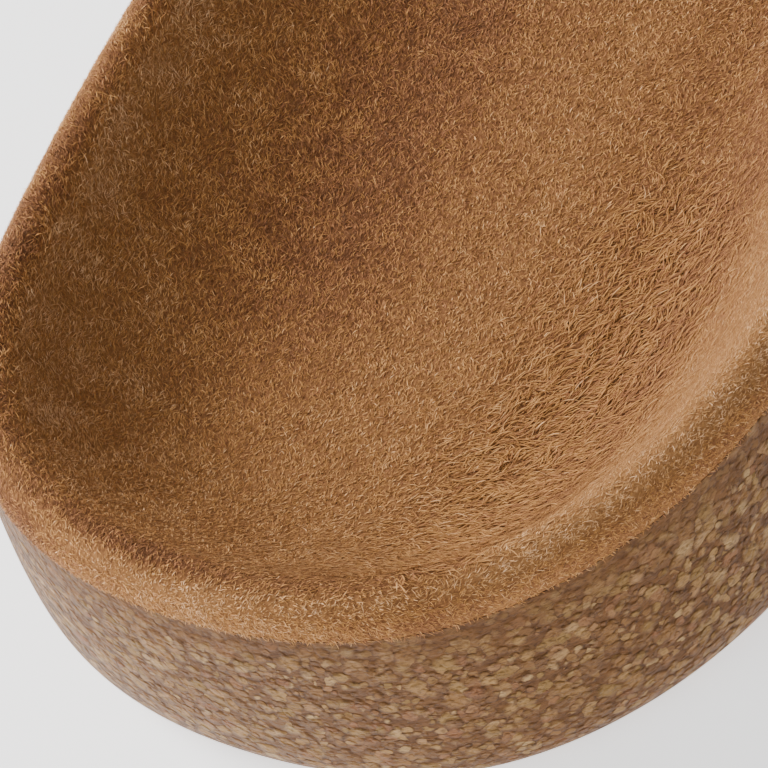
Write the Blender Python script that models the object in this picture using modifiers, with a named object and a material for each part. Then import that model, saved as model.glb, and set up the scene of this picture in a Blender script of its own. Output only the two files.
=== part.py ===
"""Footbed sandal for a left foot: a cork sole, a napped footbed liner over it, and a plain two-band upper.

Metres, +Z up, toe towards +Y, big-toe side towards +X. The sole stands on z = 0.
"""

from collections import namedtuple

import bmesh
import bpy
import numpy as np

MM = 0.001

# Driving sizes
LENGTH = 268 * MM
LINER_WALL = 1.5 * MM
UPPER_WALL = 2.4 * MM
SEAT_GAP = 0.3 * MM

# Rolled rim of the footbed: the liner turns over the cork's edge and stops on a ledge
RIM_INSET = 0.6 * MM
RIM_RADIUS = 2.3 * MM
MOST_EASE = 0.6
LIP_DROP = 3.1 * MM

# Bands of the upper, as shares of the sole's length, at the little-toe side and the big-toe side
BandLine = namedtuple("BandLine", "lateral medial bow")
REAR_EDGE = BandLine(0.385, 0.420, -0.030)
GAP_CENTRE = BandLine(0.530, 0.575, -0.010)
FRONT_EDGE = BandLine(0.680, 0.745, 0.020)
GAP_HALF_WIDTH = 9 * MM
GAP_SHARE = 0.72
GAP_POWER = 4
LEG_DEPTH = 9 * MM
SLOT_RISE = 0.16
SLOT_REACH = 4 * MM
SECTION_POWER = 2.3
CROWN_SKEW = 8 * MM

# Raised forms of the footbed's top
METATARSAL_PAD = dict(across=-2 * MM, along=0.575 * LENGTH, reach=24 * MM, stretch=1.25, height=2.2 * MM)
TOE_BAR = dict(along=0.830 * LENGTH, bend=14 * MM, half_width=51.5 * MM, reach=15 * MM, height=1.4 * MM)

# Plan outline seen from above, in millimetres, from the heel round the big-toe side to the toe and back
OutlinePoint = namedtuple("OutlinePoint", "across along")
OUTLINE = [
    OutlinePoint(0, 0),
    OutlinePoint(20, 5),
    OutlinePoint(30.8, 16.5),
    OutlinePoint(36.3, 34),
    OutlinePoint(35.2, 62),
    OutlinePoint(34, 98),
    OutlinePoint(37.5, 134),
    OutlinePoint(45.5, 168),
    OutlinePoint(49.5, 198),
    OutlinePoint(47, 226),
    OutlinePoint(38, 250),
    OutlinePoint(23, 264.5),
    OutlinePoint(6, 267.5),
    OutlinePoint(-15, 260.5),
    OutlinePoint(-33, 244),
    OutlinePoint(-45, 218),
    OutlinePoint(-50, 186),
    OutlinePoint(-50, 156),
    OutlinePoint(-45.5, 122),
    OutlinePoint(-41, 90),
    OutlinePoint(-39.3, 60),
    OutlinePoint(-36.2, 34),
    OutlinePoint(-30.8, 16),
    OutlinePoint(-19.5, 4.6),
]

# Heights and runs along the sole, in millimetres. A run is the width of the slope from rim to floor.
Station = namedtuple(
    "Station",
    "along floor lateral_rim medial_rim lateral_run medial_run underside crown",
)
STATIONS = [
    Station(0.00, 13.0, 23.2, 23.2, 20, 20, 0.0, 84),
    Station(0.13, 12.2, 22.0, 23.4, 24, 22, 0.0, 84),
    Station(0.27, 12.6, 20.4, 25.6, 24, 25, 0.0, 84),
    Station(0.42, 14.4, 19.4, 27.0, 19, 27, 1.6, 79),
    Station(0.57, 14.6, 18.2, 21.6, 13, 18, 0.6, 67),
    Station(0.70, 12.6, 16.8, 17.4, 10, 10, 0.0, 56),
    Station(0.82, 11.6, 15.6, 15.8, 9, 9, 0.0, 48),
    Station(0.92, 13.2, 17.0, 17.2, 9, 9, 2.4, 46),
    Station(1.00, 18.0, 22.0, 22.0, 9, 9, 7.6, 46),
]

# Side of the sole from its foot to the ledge: share of the height, and inset from the outline in millimetres
WallRow = namedtuple("WallRow", "height inset")
WALL = [
    WallRow(0.00, 4.4),
    WallRow(0.025, 2.6),
    WallRow(0.09, 1.1),
    WallRow(0.24, 0.25),
    WallRow(0.50, 0.0),
    WallRow(0.80, 0.2),
    WallRow(1.00, 0.6),
]

# Mesh fineness
SIDE_STATIONS = 36
TURN_WEIGHT = 0.4
ARC_STEPS = 3
SLOPE_STEPS = 7
SLOPE_CROWDING = 1.3
FLOOR_STEPS = 5
LEG_STEPS = 7
OPENING_STEPS = 28
BAND_STEPS = 4
SLOT_STEPS = 4
SPINE_HEEL = 0.14
SPINE_TOE = 0.83
OUTLINE_SAMPLES = 1440
SLOPE_LIMIT = 2.5
WELD_DISTANCE = 0.02 * MM
SLIVER_LENGTH = 0.005 * MM
SHARP_DEGREES = 40

# Finishes: colour in linear light, and roughness
Finish = namedtuple("Finish", "name colour roughness")
CORK = Finish("cork", (0.27, 0.15, 0.08), 0.75)
NAPPED_LINER = Finish("napped_liner", (0.37, 0.17, 0.065), 0.95)
UPPER_FELT = Finish("upper_felt", (0.17, 0.075, 0.032), 0.9)


def clear_scene():
    """Removes every object, so that the script starts from an empty scene."""
    for obj in list(bpy.data.objects):
        bpy.data.objects.remove(obj, do_unlink=True)


def closed_spline(points, count):
    """Smooth closed curve through the points: a periodic cubic spline over chord length."""
    points = np.asarray(points, float)
    steps = np.linalg.norm(np.roll(points, -1, 0) - points, axis=1)
    size = len(points)
    system = np.zeros((size, size))
    right = np.zeros_like(points)
    for i in range(size):
        before, after = steps[i - 1], steps[i]
        system[i, i - 1] += 1 / before
        system[i, i] += 2 / before + 2 / after
        system[i, (i + 1) % size] += 1 / after
        right[i] = 3 * (points[i] - points[i - 1]) / before**2
        right[i] += 3 * (points[(i + 1) % size] - points[i]) / after**2
    slopes = np.linalg.solve(system, right)
    knots = np.concatenate([[0], np.cumsum(steps)])
    where = np.linspace(0, knots[-1], count, endpoint=False)
    span = np.clip(np.searchsorted(knots, where, side="right") - 1, 0, size - 1)
    nxt = (span + 1) % size
    length = steps[span][:, None]
    u = (where - knots[span])[:, None] / length
    return (
        points[span] * (1 + 2 * u) * (1 - u) ** 2
        + slopes[span] * length * u * (1 - u) ** 2
        + points[nxt] * u**2 * (3 - 2 * u)
        - slopes[nxt] * length * u**2 * (1 - u)
    )


def dense_outline():
    """Outline in metres from the back of the heel, centred on the origin, as an array of points."""
    curve = closed_spline(OUTLINE, OUTLINE_SAMPLES) * MM
    curve -= (curve.min(0) + curve.max(0)) / 2
    return np.roll(curve, -int(np.argmin(curve[:, 1])), 0)


CURVE = dense_outline()
TOE = int(np.argmax(CURVE[:, 1]))
MEDIAL_SIDE = CURVE[: TOE + 1]
LATERAL_SIDE = np.concatenate([CURVE[TOE:], CURVE[:1]])[::-1]
BACK = CURVE[0, 1]


def share_along(y):
    """Position along the sole, from 0 at the heel to 1 at the toe."""
    return np.clip((np.asarray(y, float) - BACK) / LENGTH, 0, 1)


def row_slopes(at, values):
    """Slopes of a table's rows for a cubic through them that stays level where two rows are equal."""
    secant = np.diff(values) / np.diff(at)
    before, after = secant[:-1], secant[1:]
    limit = SLOPE_LIMIT * np.minimum(abs(before), abs(after))
    inner = np.clip(np.gradient(values, at)[1:-1], -limit, limit)
    return np.concatenate([secant[:1], np.where(before * after > 0, inner, 0), secant[-1:]])


def column(name, share):
    """A column of STATIONS in metres at a share of the length, as a cubic through its rows."""
    rows_at = np.array([row.along for row in STATIONS])
    values = np.array([getattr(row, name) for row in STATIONS]) * MM
    slopes = row_slopes(rows_at, values)
    share = np.asarray(share, float)
    i = np.clip(np.searchsorted(rows_at, share, side="right") - 1, 0, len(rows_at) - 2)
    step = rows_at[i + 1] - rows_at[i]
    u = (share - rows_at[i]) / step
    return (
        values[i] * (1 + 2 * u) * (1 - u) ** 2
        + slopes[i] * step * u * (1 - u) ** 2
        + values[i + 1] * u**2 * (3 - 2 * u)
        - slopes[i + 1] * step * u**2 * (1 - u)
    )


def side_x(y):
    """Across position of the outline at y, on the little-toe side and on the big-toe side."""
    lateral = np.interp(y, LATERAL_SIDE[:, 1], LATERAL_SIDE[:, 0])
    medial = np.interp(y, MEDIAL_SIDE[:, 1], MEDIAL_SIDE[:, 0])
    return lateral, medial


def smooth_fall(u):
    """1 at u = 0 falling to 0 at u = 1, level at both ends."""
    u = np.clip(u, 0, 1)
    return 1 - u * u * (3 - 2 * u)


def travel_to(y, side):
    """How far along one side of the outline y is, from 0 at the heel to 1 at the toe, by length and by turn."""
    step = np.diff(side, axis=0)
    heading = np.unwrap(np.arctan2(step[:, 1], step[:, 0]))
    turn = abs(np.gradient(heading))
    length = np.linalg.norm(step, axis=1)
    share = (1 - TURN_WEIGHT) * length / length.sum() + TURN_WEIGHT * turn / turn.sum()
    return np.interp(y, side[:, 1], np.concatenate([[0], np.cumsum(share)]))


def station_positions():
    """Along positions from heel to toe, closer together where the outline turns."""
    y = np.linspace(BACK, BACK + LENGTH, OUTLINE_SAMPLES)
    travel = (travel_to(y, MEDIAL_SIDE) + travel_to(y, LATERAL_SIDE)) / 2
    return np.interp(np.linspace(0, 1, SIDE_STATIONS + 1), travel, y)


Perimeter = namedtuple("Perimeter", "point inward spine share medial_share")


def perimeter():
    """Points round the outline with the inward direction and the spine point that each one faces."""
    along = station_positions()
    tangent = np.roll(CURVE, -1, 0) - np.roll(CURVE, 1, 0)
    tangent /= np.linalg.norm(tangent, axis=1)[:, None]
    inward = np.stack([-tangent[:, 1], tangent[:, 0]], 1)
    medial = [int(np.argmin(abs(MEDIAL_SIDE[:, 1] - y))) for y in along]
    lateral = [len(CURVE) - int(np.argmin(abs(LATERAL_SIDE[:, 1] - y))) for y in along]
    ids = np.array(medial[:-1] + lateral[:0:-1]) % len(CURVE)
    point = CURVE[ids]
    paired = np.concatenate([along[:-1], along[:0:-1]])
    spine_y = np.clip(paired, BACK + SPINE_HEEL * LENGTH, BACK + SPINE_TOE * LENGTH)
    left, right = side_x(spine_y)
    spine = np.stack([(left + right) / 2, spine_y], 1)
    medial_share = np.clip((point[:, 0] - left) / (right - left), 0, 1)
    return Perimeter(point, inward[ids], spine, share_along(point[:, 1]), medial_share)


def blend_sides(name, ring):
    """A rim or run column, blended across from the little-toe side to the big-toe side."""
    lateral = column("lateral_" + name, ring.share)
    medial = column("medial_" + name, ring.share)
    return lateral + (medial - lateral) * ring.medial_share


def floor_height(x, y):
    """Height of the footbed's floor, with the pad behind the toes' joints and the bar under the toes."""
    pad = METATARSAL_PAD
    bar = TOE_BAR
    base = column("floor", share_along(y))
    away = np.hypot(x - pad["across"], (y - BACK - pad["along"]) / pad["stretch"]) / pad["reach"]
    bar_line = BACK + bar["along"] - bar["bend"] * (x / bar["half_width"]) ** 2
    off_bar = abs(y - bar_line) / bar["reach"]
    return base + pad["height"] * smooth_fall(away) + bar["height"] * smooth_fall(off_bar)


def bowl_fall(u, ease):
    """1 at u = 0 falling to 0 at u = 1: the slope grows evenly until u = ease, then shrinks evenly to level."""
    return np.where(u < ease, 1 - u**2 / ease, (1 - u) ** 2 / (1 - ease))


def bowl_slope(u, ease):
    """How steeply bowl_fall falls at u."""
    return np.where(u < ease, 2 * u / ease, 2 * (1 - u) / (1 - ease))


def rim_profile(ring, depth=0.0):
    """Insets from the outline and heights of the liner's face, from its lip over the rim to the floor.

    Inside the crest the face bends on with the rim's own radius, and then flattens towards the floor like a bowl.
    The profile is moved into the sole by the depth, square to its own slope.
    """
    rim = blend_sides("rim", ring)
    run = blend_sides("run", ring)
    foot = ring.point + ring.inward * run[:, None]
    floor = floor_height(foot[:, 0], foot[:, 1])
    crest = RIM_INSET + RIM_RADIUS
    radius = RIM_RADIUS - depth
    insets = [np.full_like(rim, crest - radius)]
    heights = [rim - LIP_DROP]
    for angle in np.linspace(0, np.pi / 2, ARC_STEPS + 1):
        insets.append(np.full_like(rim, crest - radius * np.cos(angle)))
        heights.append(rim - RIM_RADIUS + radius * np.sin(angle))
    span, rise = run - crest, rim - floor
    ease = np.minimum(2 * RIM_RADIUS * rise / span**2, MOST_EASE)
    for u in np.linspace(0, 1, SLOPE_STEPS + 1)[1:] ** SLOPE_CROWDING:
        steepness = bowl_slope(u, ease) * rise / span
        level = 1 / np.hypot(1, steepness)
        insets.append(crest + u * span - depth * steepness * level)
        heights.append(floor + rise * bowl_fall(u, ease) - depth * level)
    return np.array(insets), np.array(heights)


def profile_rows(ring, insets, heights):
    """Rows of points round the sole, one for each step of a profile."""
    plan = ring.point[None] + ring.inward[None] * insets[..., None]
    return [np.column_stack([plan[i], heights[i]]) for i in range(len(insets))]


def floor_rows(ring, last_row, depth):
    """Rows from the foot of the slope to the spine, over the floor and lowered by a depth."""
    rows = []
    for u in np.linspace(0, 1, FLOOR_STEPS + 1)[1:]:
        plan = last_row[:, :2] + (ring.spine - last_row[:, :2]) * u
        rows.append(np.column_stack([plan, floor_height(plan[:, 0], plan[:, 1]) - depth]))
    return rows


def loft(name, rows, closed_rows):
    """Mesh through rows of points, each row joined to the next. A row is a ring when closed_rows is set."""
    rows = np.asarray(rows)
    count = rows.shape[1]
    last = count if closed_rows else count - 1
    faces = []
    for r in range(len(rows) - 1):
        for i in range(last):
            j = (i + 1) % count
            faces.append((r * count + i, r * count + j, (r + 1) * count + j, (r + 1) * count + i))
    mesh = bpy.data.meshes.new(name)
    mesh.from_pydata(rows.reshape(-1, 3).tolist(), [], faces)
    return mesh


def weld(mesh):
    """Merges points that coincide, drops the faces that vanish, and turns the faces outwards."""
    shape = bmesh.new()
    shape.from_mesh(mesh)
    bmesh.ops.remove_doubles(shape, verts=shape.verts, dist=WELD_DISTANCE)
    bmesh.ops.dissolve_degenerate(shape, edges=shape.edges, dist=SLIVER_LENGTH)
    bmesh.ops.recalc_face_normals(shape, faces=shape.faces)
    shape.to_mesh(mesh)
    shape.free()
    mesh.shade_smooth()
    mesh.set_sharp_from_angle(angle=np.radians(SHARP_DEGREES))


def face_up(mesh):
    """Turns an open sheet over if its faces point down or inwards on the whole."""
    if sum(face.normal.z * face.area for face in mesh.polygons) < 0:
        mesh.flip_normals()


def plain_material(finish):
    """A plain material of one colour."""
    material = bpy.data.materials.new(finish.name)
    material.use_nodes = True
    shader = material.node_tree.nodes["Principled BSDF"]
    shader.inputs["Base Color"].default_value = (*finish.colour, 1)
    shader.inputs["Roughness"].default_value = finish.roughness
    shader.inputs["Metallic"].default_value = 0
    return material


def add_object(name, mesh, collection, finish=None):
    """An object of the mesh in a collection."""
    obj = bpy.data.objects.new(name, mesh)
    collection.objects.link(obj)
    if finish:
        mesh.materials.append(plain_material(finish))
    return obj


def add_solidify(obj, outside, inside):
    """Gives an open sheet a wall that reaches outside and inside of it."""
    modifier = obj.modifiers.new("wall", "SOLIDIFY")
    modifier.thickness = outside + inside
    modifier.offset = (outside - inside) / (outside + inside)
    modifier.use_even_offset = True
    modifier.use_quality_normals = True


def cork_sole_mesh(ring):
    """Cork sole: flat underside with a toe spring and a waist, rounded side, ledge and dished top."""
    under = column("underside", ring.share)
    ledge = blend_sides("rim", ring) - LIP_DROP - SEAT_GAP
    wall_insets = np.array([np.full_like(under, row.inset * MM) for row in WALL])
    wall_heights = np.array([under + (ledge - under) * row.height for row in WALL])
    seat_insets, seat_heights = rim_profile(ring, LINER_WALL + SEAT_GAP)
    seat_heights[0] = ledge
    wall = profile_rows(ring, wall_insets, wall_heights)
    seat = profile_rows(ring, seat_insets, seat_heights)
    top = floor_rows(ring, seat[-1], LINER_WALL + SEAT_GAP)
    bottom = []
    for u in np.linspace(1, 0, FLOOR_STEPS + 1)[:-1]:
        plan = wall[0][:, :2] + (ring.spine - wall[0][:, :2]) * u
        bottom.append(np.column_stack([plan, column("underside", share_along(plan[:, 1]))]))
    mesh = loft("cork_sole", bottom + wall + seat + top, closed_rows=True)
    weld(mesh)
    return mesh


def footbed_liner_mesh(ring):
    """Face of the footbed liner, from the lip over the rolled rim to the middle of the floor."""
    insets, heights = rim_profile(ring)
    face = profile_rows(ring, insets, heights)
    mesh = loft("footbed_liner", face + floor_rows(ring, face[-1], 0), closed_rows=True)
    weld(mesh)
    face_up(mesh)
    return mesh


def band_line(line, angle):
    """Along position of an edge of the bands at each angle over the foot, straight across plus a bow."""
    across = (1 - np.cos(angle)) / 2
    share = line.lateral + (line.medial - line.lateral) * across + line.bow * np.sin(angle) ** 2
    return BACK + share * LENGTH


def gap_half_width(angle):
    """Half the opening between the bands: a round-ended slot over the top of the foot, shut at both sides."""
    reach = abs(angle - np.pi / 2) / (GAP_SHARE * np.pi / 2)
    return GAP_HALF_WIDTH * np.sqrt(np.clip(1 - reach**GAP_POWER, 0, 1))


def section_angles():
    """Angles over the foot, closer together at both ends of the opening."""
    reach = GAP_SHARE * np.pi / 2
    leg = np.linspace(0, np.pi / 2 - reach, LEG_STEPS + 1)
    over = np.pi / 2 - reach * np.cos(np.linspace(0, np.pi, OPENING_STEPS + 1))
    return np.concatenate([leg[:-1], over, np.pi - leg[-2::-1]])


def last_section(angle, y, drop):
    """Point of the upper's outer face: an arch over the foot, upright where it enters the sole."""
    share = share_along(y)
    lateral, medial = side_x(y)
    across = (1 - np.cos(angle)) / 2
    rim = column("lateral_rim", share) * (1 - across) + column("medial_rim", share) * across
    base = rim - LEG_DEPTH - drop
    reach = np.abs(np.cos(angle)) ** (2 / SECTION_POWER) * np.sign(np.cos(angle))
    rise = np.abs(np.sin(angle)) ** (2 / SECTION_POWER)
    x = (lateral + medial) / 2 - (medial - lateral) / 2 * reach + CROWN_SKEW * np.sin(angle) ** 4
    return np.stack([x, y, base + (column("crown", share) - base) * rise], -1)


def band_rows(angle, start, end, drop=0.0):
    """Rows of the upper between two edges, each an array over the angle."""
    shares = np.linspace(0, 1, BAND_STEPS + 1)
    return [last_section(angle, start + (end - start) * v, drop) for v in shares]


def upper_mesh():
    """Outer face of the upper: a rear and a front band, joined at the sides below the opening."""
    angle = section_angles()
    centre = band_line(GAP_CENTRE, angle)
    half = gap_half_width(angle)
    rear = loft("rear_band", band_rows(angle, band_line(REAR_EDGE, angle), centre - half), False)
    front = loft("front_band", band_rows(angle, centre + half, band_line(FRONT_EDGE, angle)), False)
    shape = bmesh.new()
    shape.from_mesh(rear)
    shape.from_mesh(front)
    mesh = bpy.data.meshes.new("upper")
    shape.to_mesh(mesh)
    shape.free()
    weld(mesh)
    face_up(mesh)
    return mesh


def slot_cutter(name, angles, collection):
    """Solid that cuts the recess for one leg of the upper, clear of it by the seat gap all round."""
    rear = band_line(REAR_EDGE, angles) - SEAT_GAP
    front = band_line(FRONT_EDGE, angles) + SEAT_GAP
    mesh = loft(name, band_rows(angles, rear, front, SEAT_GAP), False)
    weld(mesh)
    outwards = sum(face.normal.x * face.center.x for face in mesh.polygons)
    if outwards < 0:
        mesh.flip_normals()
    cutter = add_object(name, mesh, collection)
    add_solidify(cutter, SLOT_REACH, UPPER_WALL + SEAT_GAP)
    cutter.hide_render = True
    cutter.display_type = "WIRE"
    return cutter


def cut(obj, cutters):
    """Cuts each cutter from an object."""
    for cutter in cutters:
        modifier = obj.modifiers.new("slot_" + cutter.name, "BOOLEAN")
        modifier.operation = "DIFFERENCE"
        modifier.object = cutter


def main():
    """Builds the sandal."""
    clear_scene()
    sandal = bpy.data.collections.new("footbed_sandal")
    helpers = bpy.data.collections.new("cutters")
    for collection in (sandal, helpers):
        bpy.context.scene.collection.children.link(collection)
    ring = perimeter()
    cork = add_object("cork_sole", cork_sole_mesh(ring), sandal, CORK)
    liner = add_object("footbed_liner", footbed_liner_mesh(ring), sandal, NAPPED_LINER)
    add_solidify(liner, 0, LINER_WALL)
    upper = add_object("upper", upper_mesh(), sandal, UPPER_FELT)
    add_solidify(upper, 0, UPPER_WALL)
    rise = np.linspace(0, SLOT_RISE * np.pi, SLOT_STEPS + 1)
    cutters = [
        slot_cutter("lateral_slot", rise, helpers),
        slot_cutter("medial_slot", np.pi - rise, helpers),
    ]
    for piece in (cork, liner):
        cut(piece, cutters)


main()
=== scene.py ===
"""Looks of the footbed sandal: a cork sole, a napped footbed liner and a plain felt upper, around the frame.

Metres, +Z up, toe towards +Y, big-toe side towards +X, in the same frame as the solids.
"""

import logging
import math
from dataclasses import dataclass, field
from enum import Enum
from typing import Any, NamedTuple, Sequence

import bmesh
import bpy
import numpy as np
from mathutils import Matrix, Vector
from numpy.typing import NDArray


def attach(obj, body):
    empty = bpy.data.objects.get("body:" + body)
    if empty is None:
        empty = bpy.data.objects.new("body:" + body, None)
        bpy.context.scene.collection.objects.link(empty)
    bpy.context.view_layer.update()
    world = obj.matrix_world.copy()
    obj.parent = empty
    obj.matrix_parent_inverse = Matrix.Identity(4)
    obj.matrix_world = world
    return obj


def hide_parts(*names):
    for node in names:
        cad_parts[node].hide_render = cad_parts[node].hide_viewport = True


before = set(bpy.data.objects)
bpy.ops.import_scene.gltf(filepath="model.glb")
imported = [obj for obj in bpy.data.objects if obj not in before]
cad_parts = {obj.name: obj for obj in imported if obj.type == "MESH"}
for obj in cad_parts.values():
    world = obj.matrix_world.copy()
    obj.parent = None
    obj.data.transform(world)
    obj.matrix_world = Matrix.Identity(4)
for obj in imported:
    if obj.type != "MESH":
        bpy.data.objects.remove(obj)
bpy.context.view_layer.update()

Floats = NDArray[np.float64]
Stops = tuple[tuple[float, str], ...]
Span = tuple[float, float]

MM = 0.001
BODY = "root"
BAKE_MAP = "OFBake"
MERGE = 0.01 * MM
SLIVER = 0.002 * MM
MULTIPLIED = {"data_type": "RGBA", "blend_type": "MULTIPLY"}
LOG = logging.getLogger("footbed_sandal")


class OutlinePoint(NamedTuple):
    """A point of the sole's plan, in millimetres."""

    across: float
    along: float


class Station(NamedTuple):
    """Heights and runs across the sole at a share of its length, in millimetres."""

    along: float
    floor: float
    lateral_rim: float
    medial_rim: float
    lateral_run: float
    medial_run: float
    underside: float
    crown: float


class WallRow(NamedTuple):
    """A row of the sole's side: share of its height, and inset from the outline in millimetres."""

    height: float
    inset: float


class BandLine(NamedTuple):
    """An edge of the upper's bands, as shares of the sole's length."""

    lateral: float
    medial: float
    bow: float


class Mound(NamedTuple):
    """A raised form of the footbed's floor, in metres."""

    across: float
    along: float
    reach: float
    height: float


class NapRow(NamedTuple):
    """How the nap lies across the footbed, from -1 at the little-toe rim to 1 at the big-toe rim.

    Angles are degrees from +X towards +Y, length and width are millimetres, and lean is degrees from the
    surface. Real microfibre is finer: the widths are as coarse as they need to be to show.
    """

    across: float
    rear_angle: float
    front_angle: float
    length: float
    width: float
    lean: float


class PaintedNapShading(NamedTuple):
    """Painted light and shade of the nap across the footbed, at the heel and ahead of it, and what the rim
    adds to it.

    Rear and front hold the nap's own tone with painted shadow laid over the far wall. The crest is the rim's
    top, darkened as painted shade; the roll its outer shoulder, lightened as painted light at the heel and on
    the big-toe side and darkened as painted shade on the little-toe side; the lip its edge and the steep its
    inner side, both darkened as painted shade.
    """

    across: float
    rear: float
    front: float
    crest: float
    roll: float
    lip: float
    steep: float


class Ring(NamedTuple):
    """Points round the outline, with the inward direction and the spine point that each one faces."""

    point: Floats
    inward: Floats
    spine: Floats
    share: Floats
    medial_share: Floats


OUTLINE = tuple(
    OutlinePoint(across, along)
    for across, along in (
        (0, 0), (20, 5), (30.8, 16.5), (36.3, 34), (35.2, 62), (34, 98), (37.5, 134), (45.5, 168),
        (49.5, 198), (47, 226), (38, 250), (23, 264.5), (6, 267.5), (-15, 260.5), (-33, 244), (-45, 218),
        (-50, 186), (-50, 156), (-45.5, 122), (-41, 90), (-39.3, 60), (-36.2, 34), (-30.8, 16), (-19.5, 4.6),
    )
)

STATIONS = (
    Station(0.00, 13.0, 23.2, 23.2, 20, 20, 0.0, 84),
    Station(0.13, 12.2, 22.0, 23.4, 24, 22, 0.0, 84),
    Station(0.27, 12.6, 20.4, 25.6, 24, 25, 0.0, 84),
    Station(0.42, 14.4, 19.4, 27.0, 19, 27, 1.6, 79),
    Station(0.57, 14.6, 18.2, 21.6, 13, 18, 0.6, 67),
    Station(0.70, 12.6, 16.8, 17.4, 10, 10, 0.0, 56),
    Station(0.82, 11.6, 15.6, 15.8, 9, 9, 0.0, 48),
    Station(0.92, 13.2, 17.0, 17.2, 9, 9, 2.4, 46),
    Station(1.00, 18.0, 22.0, 22.0, 9, 9, 7.6, 46),
)

WALL = (
    WallRow(0.00, 4.4),
    WallRow(0.025, 2.6),
    WallRow(0.09, 1.1),
    WallRow(0.24, 0.25),
    WallRow(0.50, 0.0),
    WallRow(0.80, 0.2),
    WallRow(1.00, 0.6),
)

NAP = (
    NapRow(-1.00, 140, 140, 0.40, 0.056, 24),
    NapRow(-0.75, 130, 125, 0.42, 0.056, 24),
    NapRow(-0.35, 110, 105, 0.38, 0.058, 22),
    NapRow(0.05, 70, 95, 0.38, 0.060, 20),
    NapRow(0.40, 5, 70, 0.44, 0.062, 16),
    NapRow(0.65, 60, 88, 0.60, 0.060, 4),
    NapRow(0.85, 78, 88, 0.50, 0.060, 8),
    NapRow(1.00, 60, 70, 0.36, 0.058, 22),
)

CURLS = (
    NapRow(-1.00, 140, 140, 0.52, 0.056, 24),
    NapRow(-0.75, 130, 125, 0.56, 0.054, 24),
    NapRow(-0.35, 110, 105, 0.46, 0.058, 20),
    NapRow(0.05, 60, 95, 0.46, 0.060, 20),
    NapRow(0.40, 5, 70, 0.52, 0.064, 18),
    NapRow(0.65, 60, 88, 0.60, 0.054, 5),
    NapRow(0.85, 78, 88, 0.48, 0.054, 9),
    NapRow(1.00, 60, 70, 0.42, 0.058, 22),
)

STRANDS = (
    NapRow(-1.00, 130, 130, 0.8, 0.045, 26),
    NapRow(-0.30, 110, 105, 0.8, 0.045, 22),
    NapRow(0.10, 10, 85, 1.0, 0.066, 20),
    NapRow(0.45, 0, 68, 1.3, 0.084, 24),
    NapRow(0.70, 30, 75, 1.3, 0.074, 12),
    NapRow(1.00, 60, 80, 0.8, 0.060, 10),
)

# Painted light and shade of the nap over its own tone: painted shadow on the far wall and in the heel's
# crease, painted light on the rim's shoulder.
PAINTED_NAP_SHADING = (
    PaintedNapShading(-1.00, 0.58, 0.98, -0.60, -0.04, -0.12, 0.00),
    PaintedNapShading(-0.75, 0.76, 0.53, -0.42, -0.24, -0.38, -0.02),
    PaintedNapShading(-0.45, 0.67, 0.30, -0.30, -0.28, -0.52, -0.05),
    PaintedNapShading(-0.28, 0.65, 0.26, -0.34, 0.04, -0.26, -0.06),
    PaintedNapShading(-0.12, 0.56, 0.40, -0.34, 0.24, -0.04, -0.05),
    PaintedNapShading(0.10, 0.56, 0.47, -0.20, 0.27, 0.02, -0.01),
    PaintedNapShading(0.40, 0.44, 0.38, -0.04, 0.29, -0.02, 0.00),
    PaintedNapShading(0.57, 0.39, 0.30, 0.04, 0.30, -0.08, 0.00),
    PaintedNapShading(0.68, 0.54, 0.46, 0.06, 0.31, -0.12, 0.00),
    PaintedNapShading(0.90, 0.52, 0.56, 0.06, 0.31, -0.14, 0.00),
    PaintedNapShading(1.00, 0.38, 0.59, 0.05, 0.31, -0.14, 0.00),
)


def linear(code: str) -> tuple[float, float, float, float]:
    """Turns an sRGB hex colour to linear light.

    Args:
        code: six hex digits, such as "9C6F45".

    Returns:
        Red, green, blue and alpha, each from 0 to 1.
    """
    parts = np.array([int(code[i : i + 2], 16) for i in (0, 2, 4)]) / 255
    light = np.where(parts <= 0.04045, parts / 12.92, ((parts + 0.055) / 1.055) ** 2.4)
    return (*light.tolist(), 1.0)


def feed(tree: bpy.types.NodeTree, node: bpy.types.Node, inputs: dict[str | int, Any]) -> None:
    """Sets a node's inputs, or links them to the sockets that feed them.

    Args:
        tree: the node tree that the node is in.
        node: the node.
        inputs: input sockets by name or number, each with a value or the socket that feeds it.
    """
    for socket, value in inputs.items():
        if isinstance(value, bpy.types.NodeSocket):
            tree.links.new(value, node.inputs[socket])
        else:
            node.inputs[socket].default_value = value


def add_node(
    tree: bpy.types.NodeTree,
    kind: str,
    inputs: dict[str | int, Any] | None = None,
    out: str | int = 0,
    stops: Stops = (),
    **settings: Any,
) -> bpy.types.NodeSocket:
    """Adds a shader node with its settings, and sets or links its inputs.

    Args:
        tree: the node tree that the node goes into.
        kind: the node's type name after "ShaderNode".
        inputs: input sockets by name or number, each with a value or the socket that feeds it.
        out: the output to return, by name or number.
        stops: places and hex colours of a colour ramp.
        settings: the node's own properties.

    Returns:
        That output of the new node.
    """
    node = tree.nodes.new("ShaderNode" + kind)
    for name, value in settings.items():
        setattr(node, name, value)
    feed(tree, node, inputs or {})
    for index, (place, code) in enumerate(stops):
        elements = node.color_ramp.elements
        element = elements[index] if index < len(elements) else elements.new(place)
        element.position = place
        element.color = linear(code)
    return node.outputs[out]


def new_material(name: str) -> tuple[bpy.types.Material, bpy.types.NodeTree, bpy.types.Node]:
    """Makes a material with a plain Principled shader.

    Args:
        name: the material's name.

    Returns:
        The material, its node tree and its Principled node.
    """
    material = bpy.data.materials.new(name)
    material.use_nodes = True
    tree = material.node_tree
    return material, tree, tree.nodes["Principled BSDF"]


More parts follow.
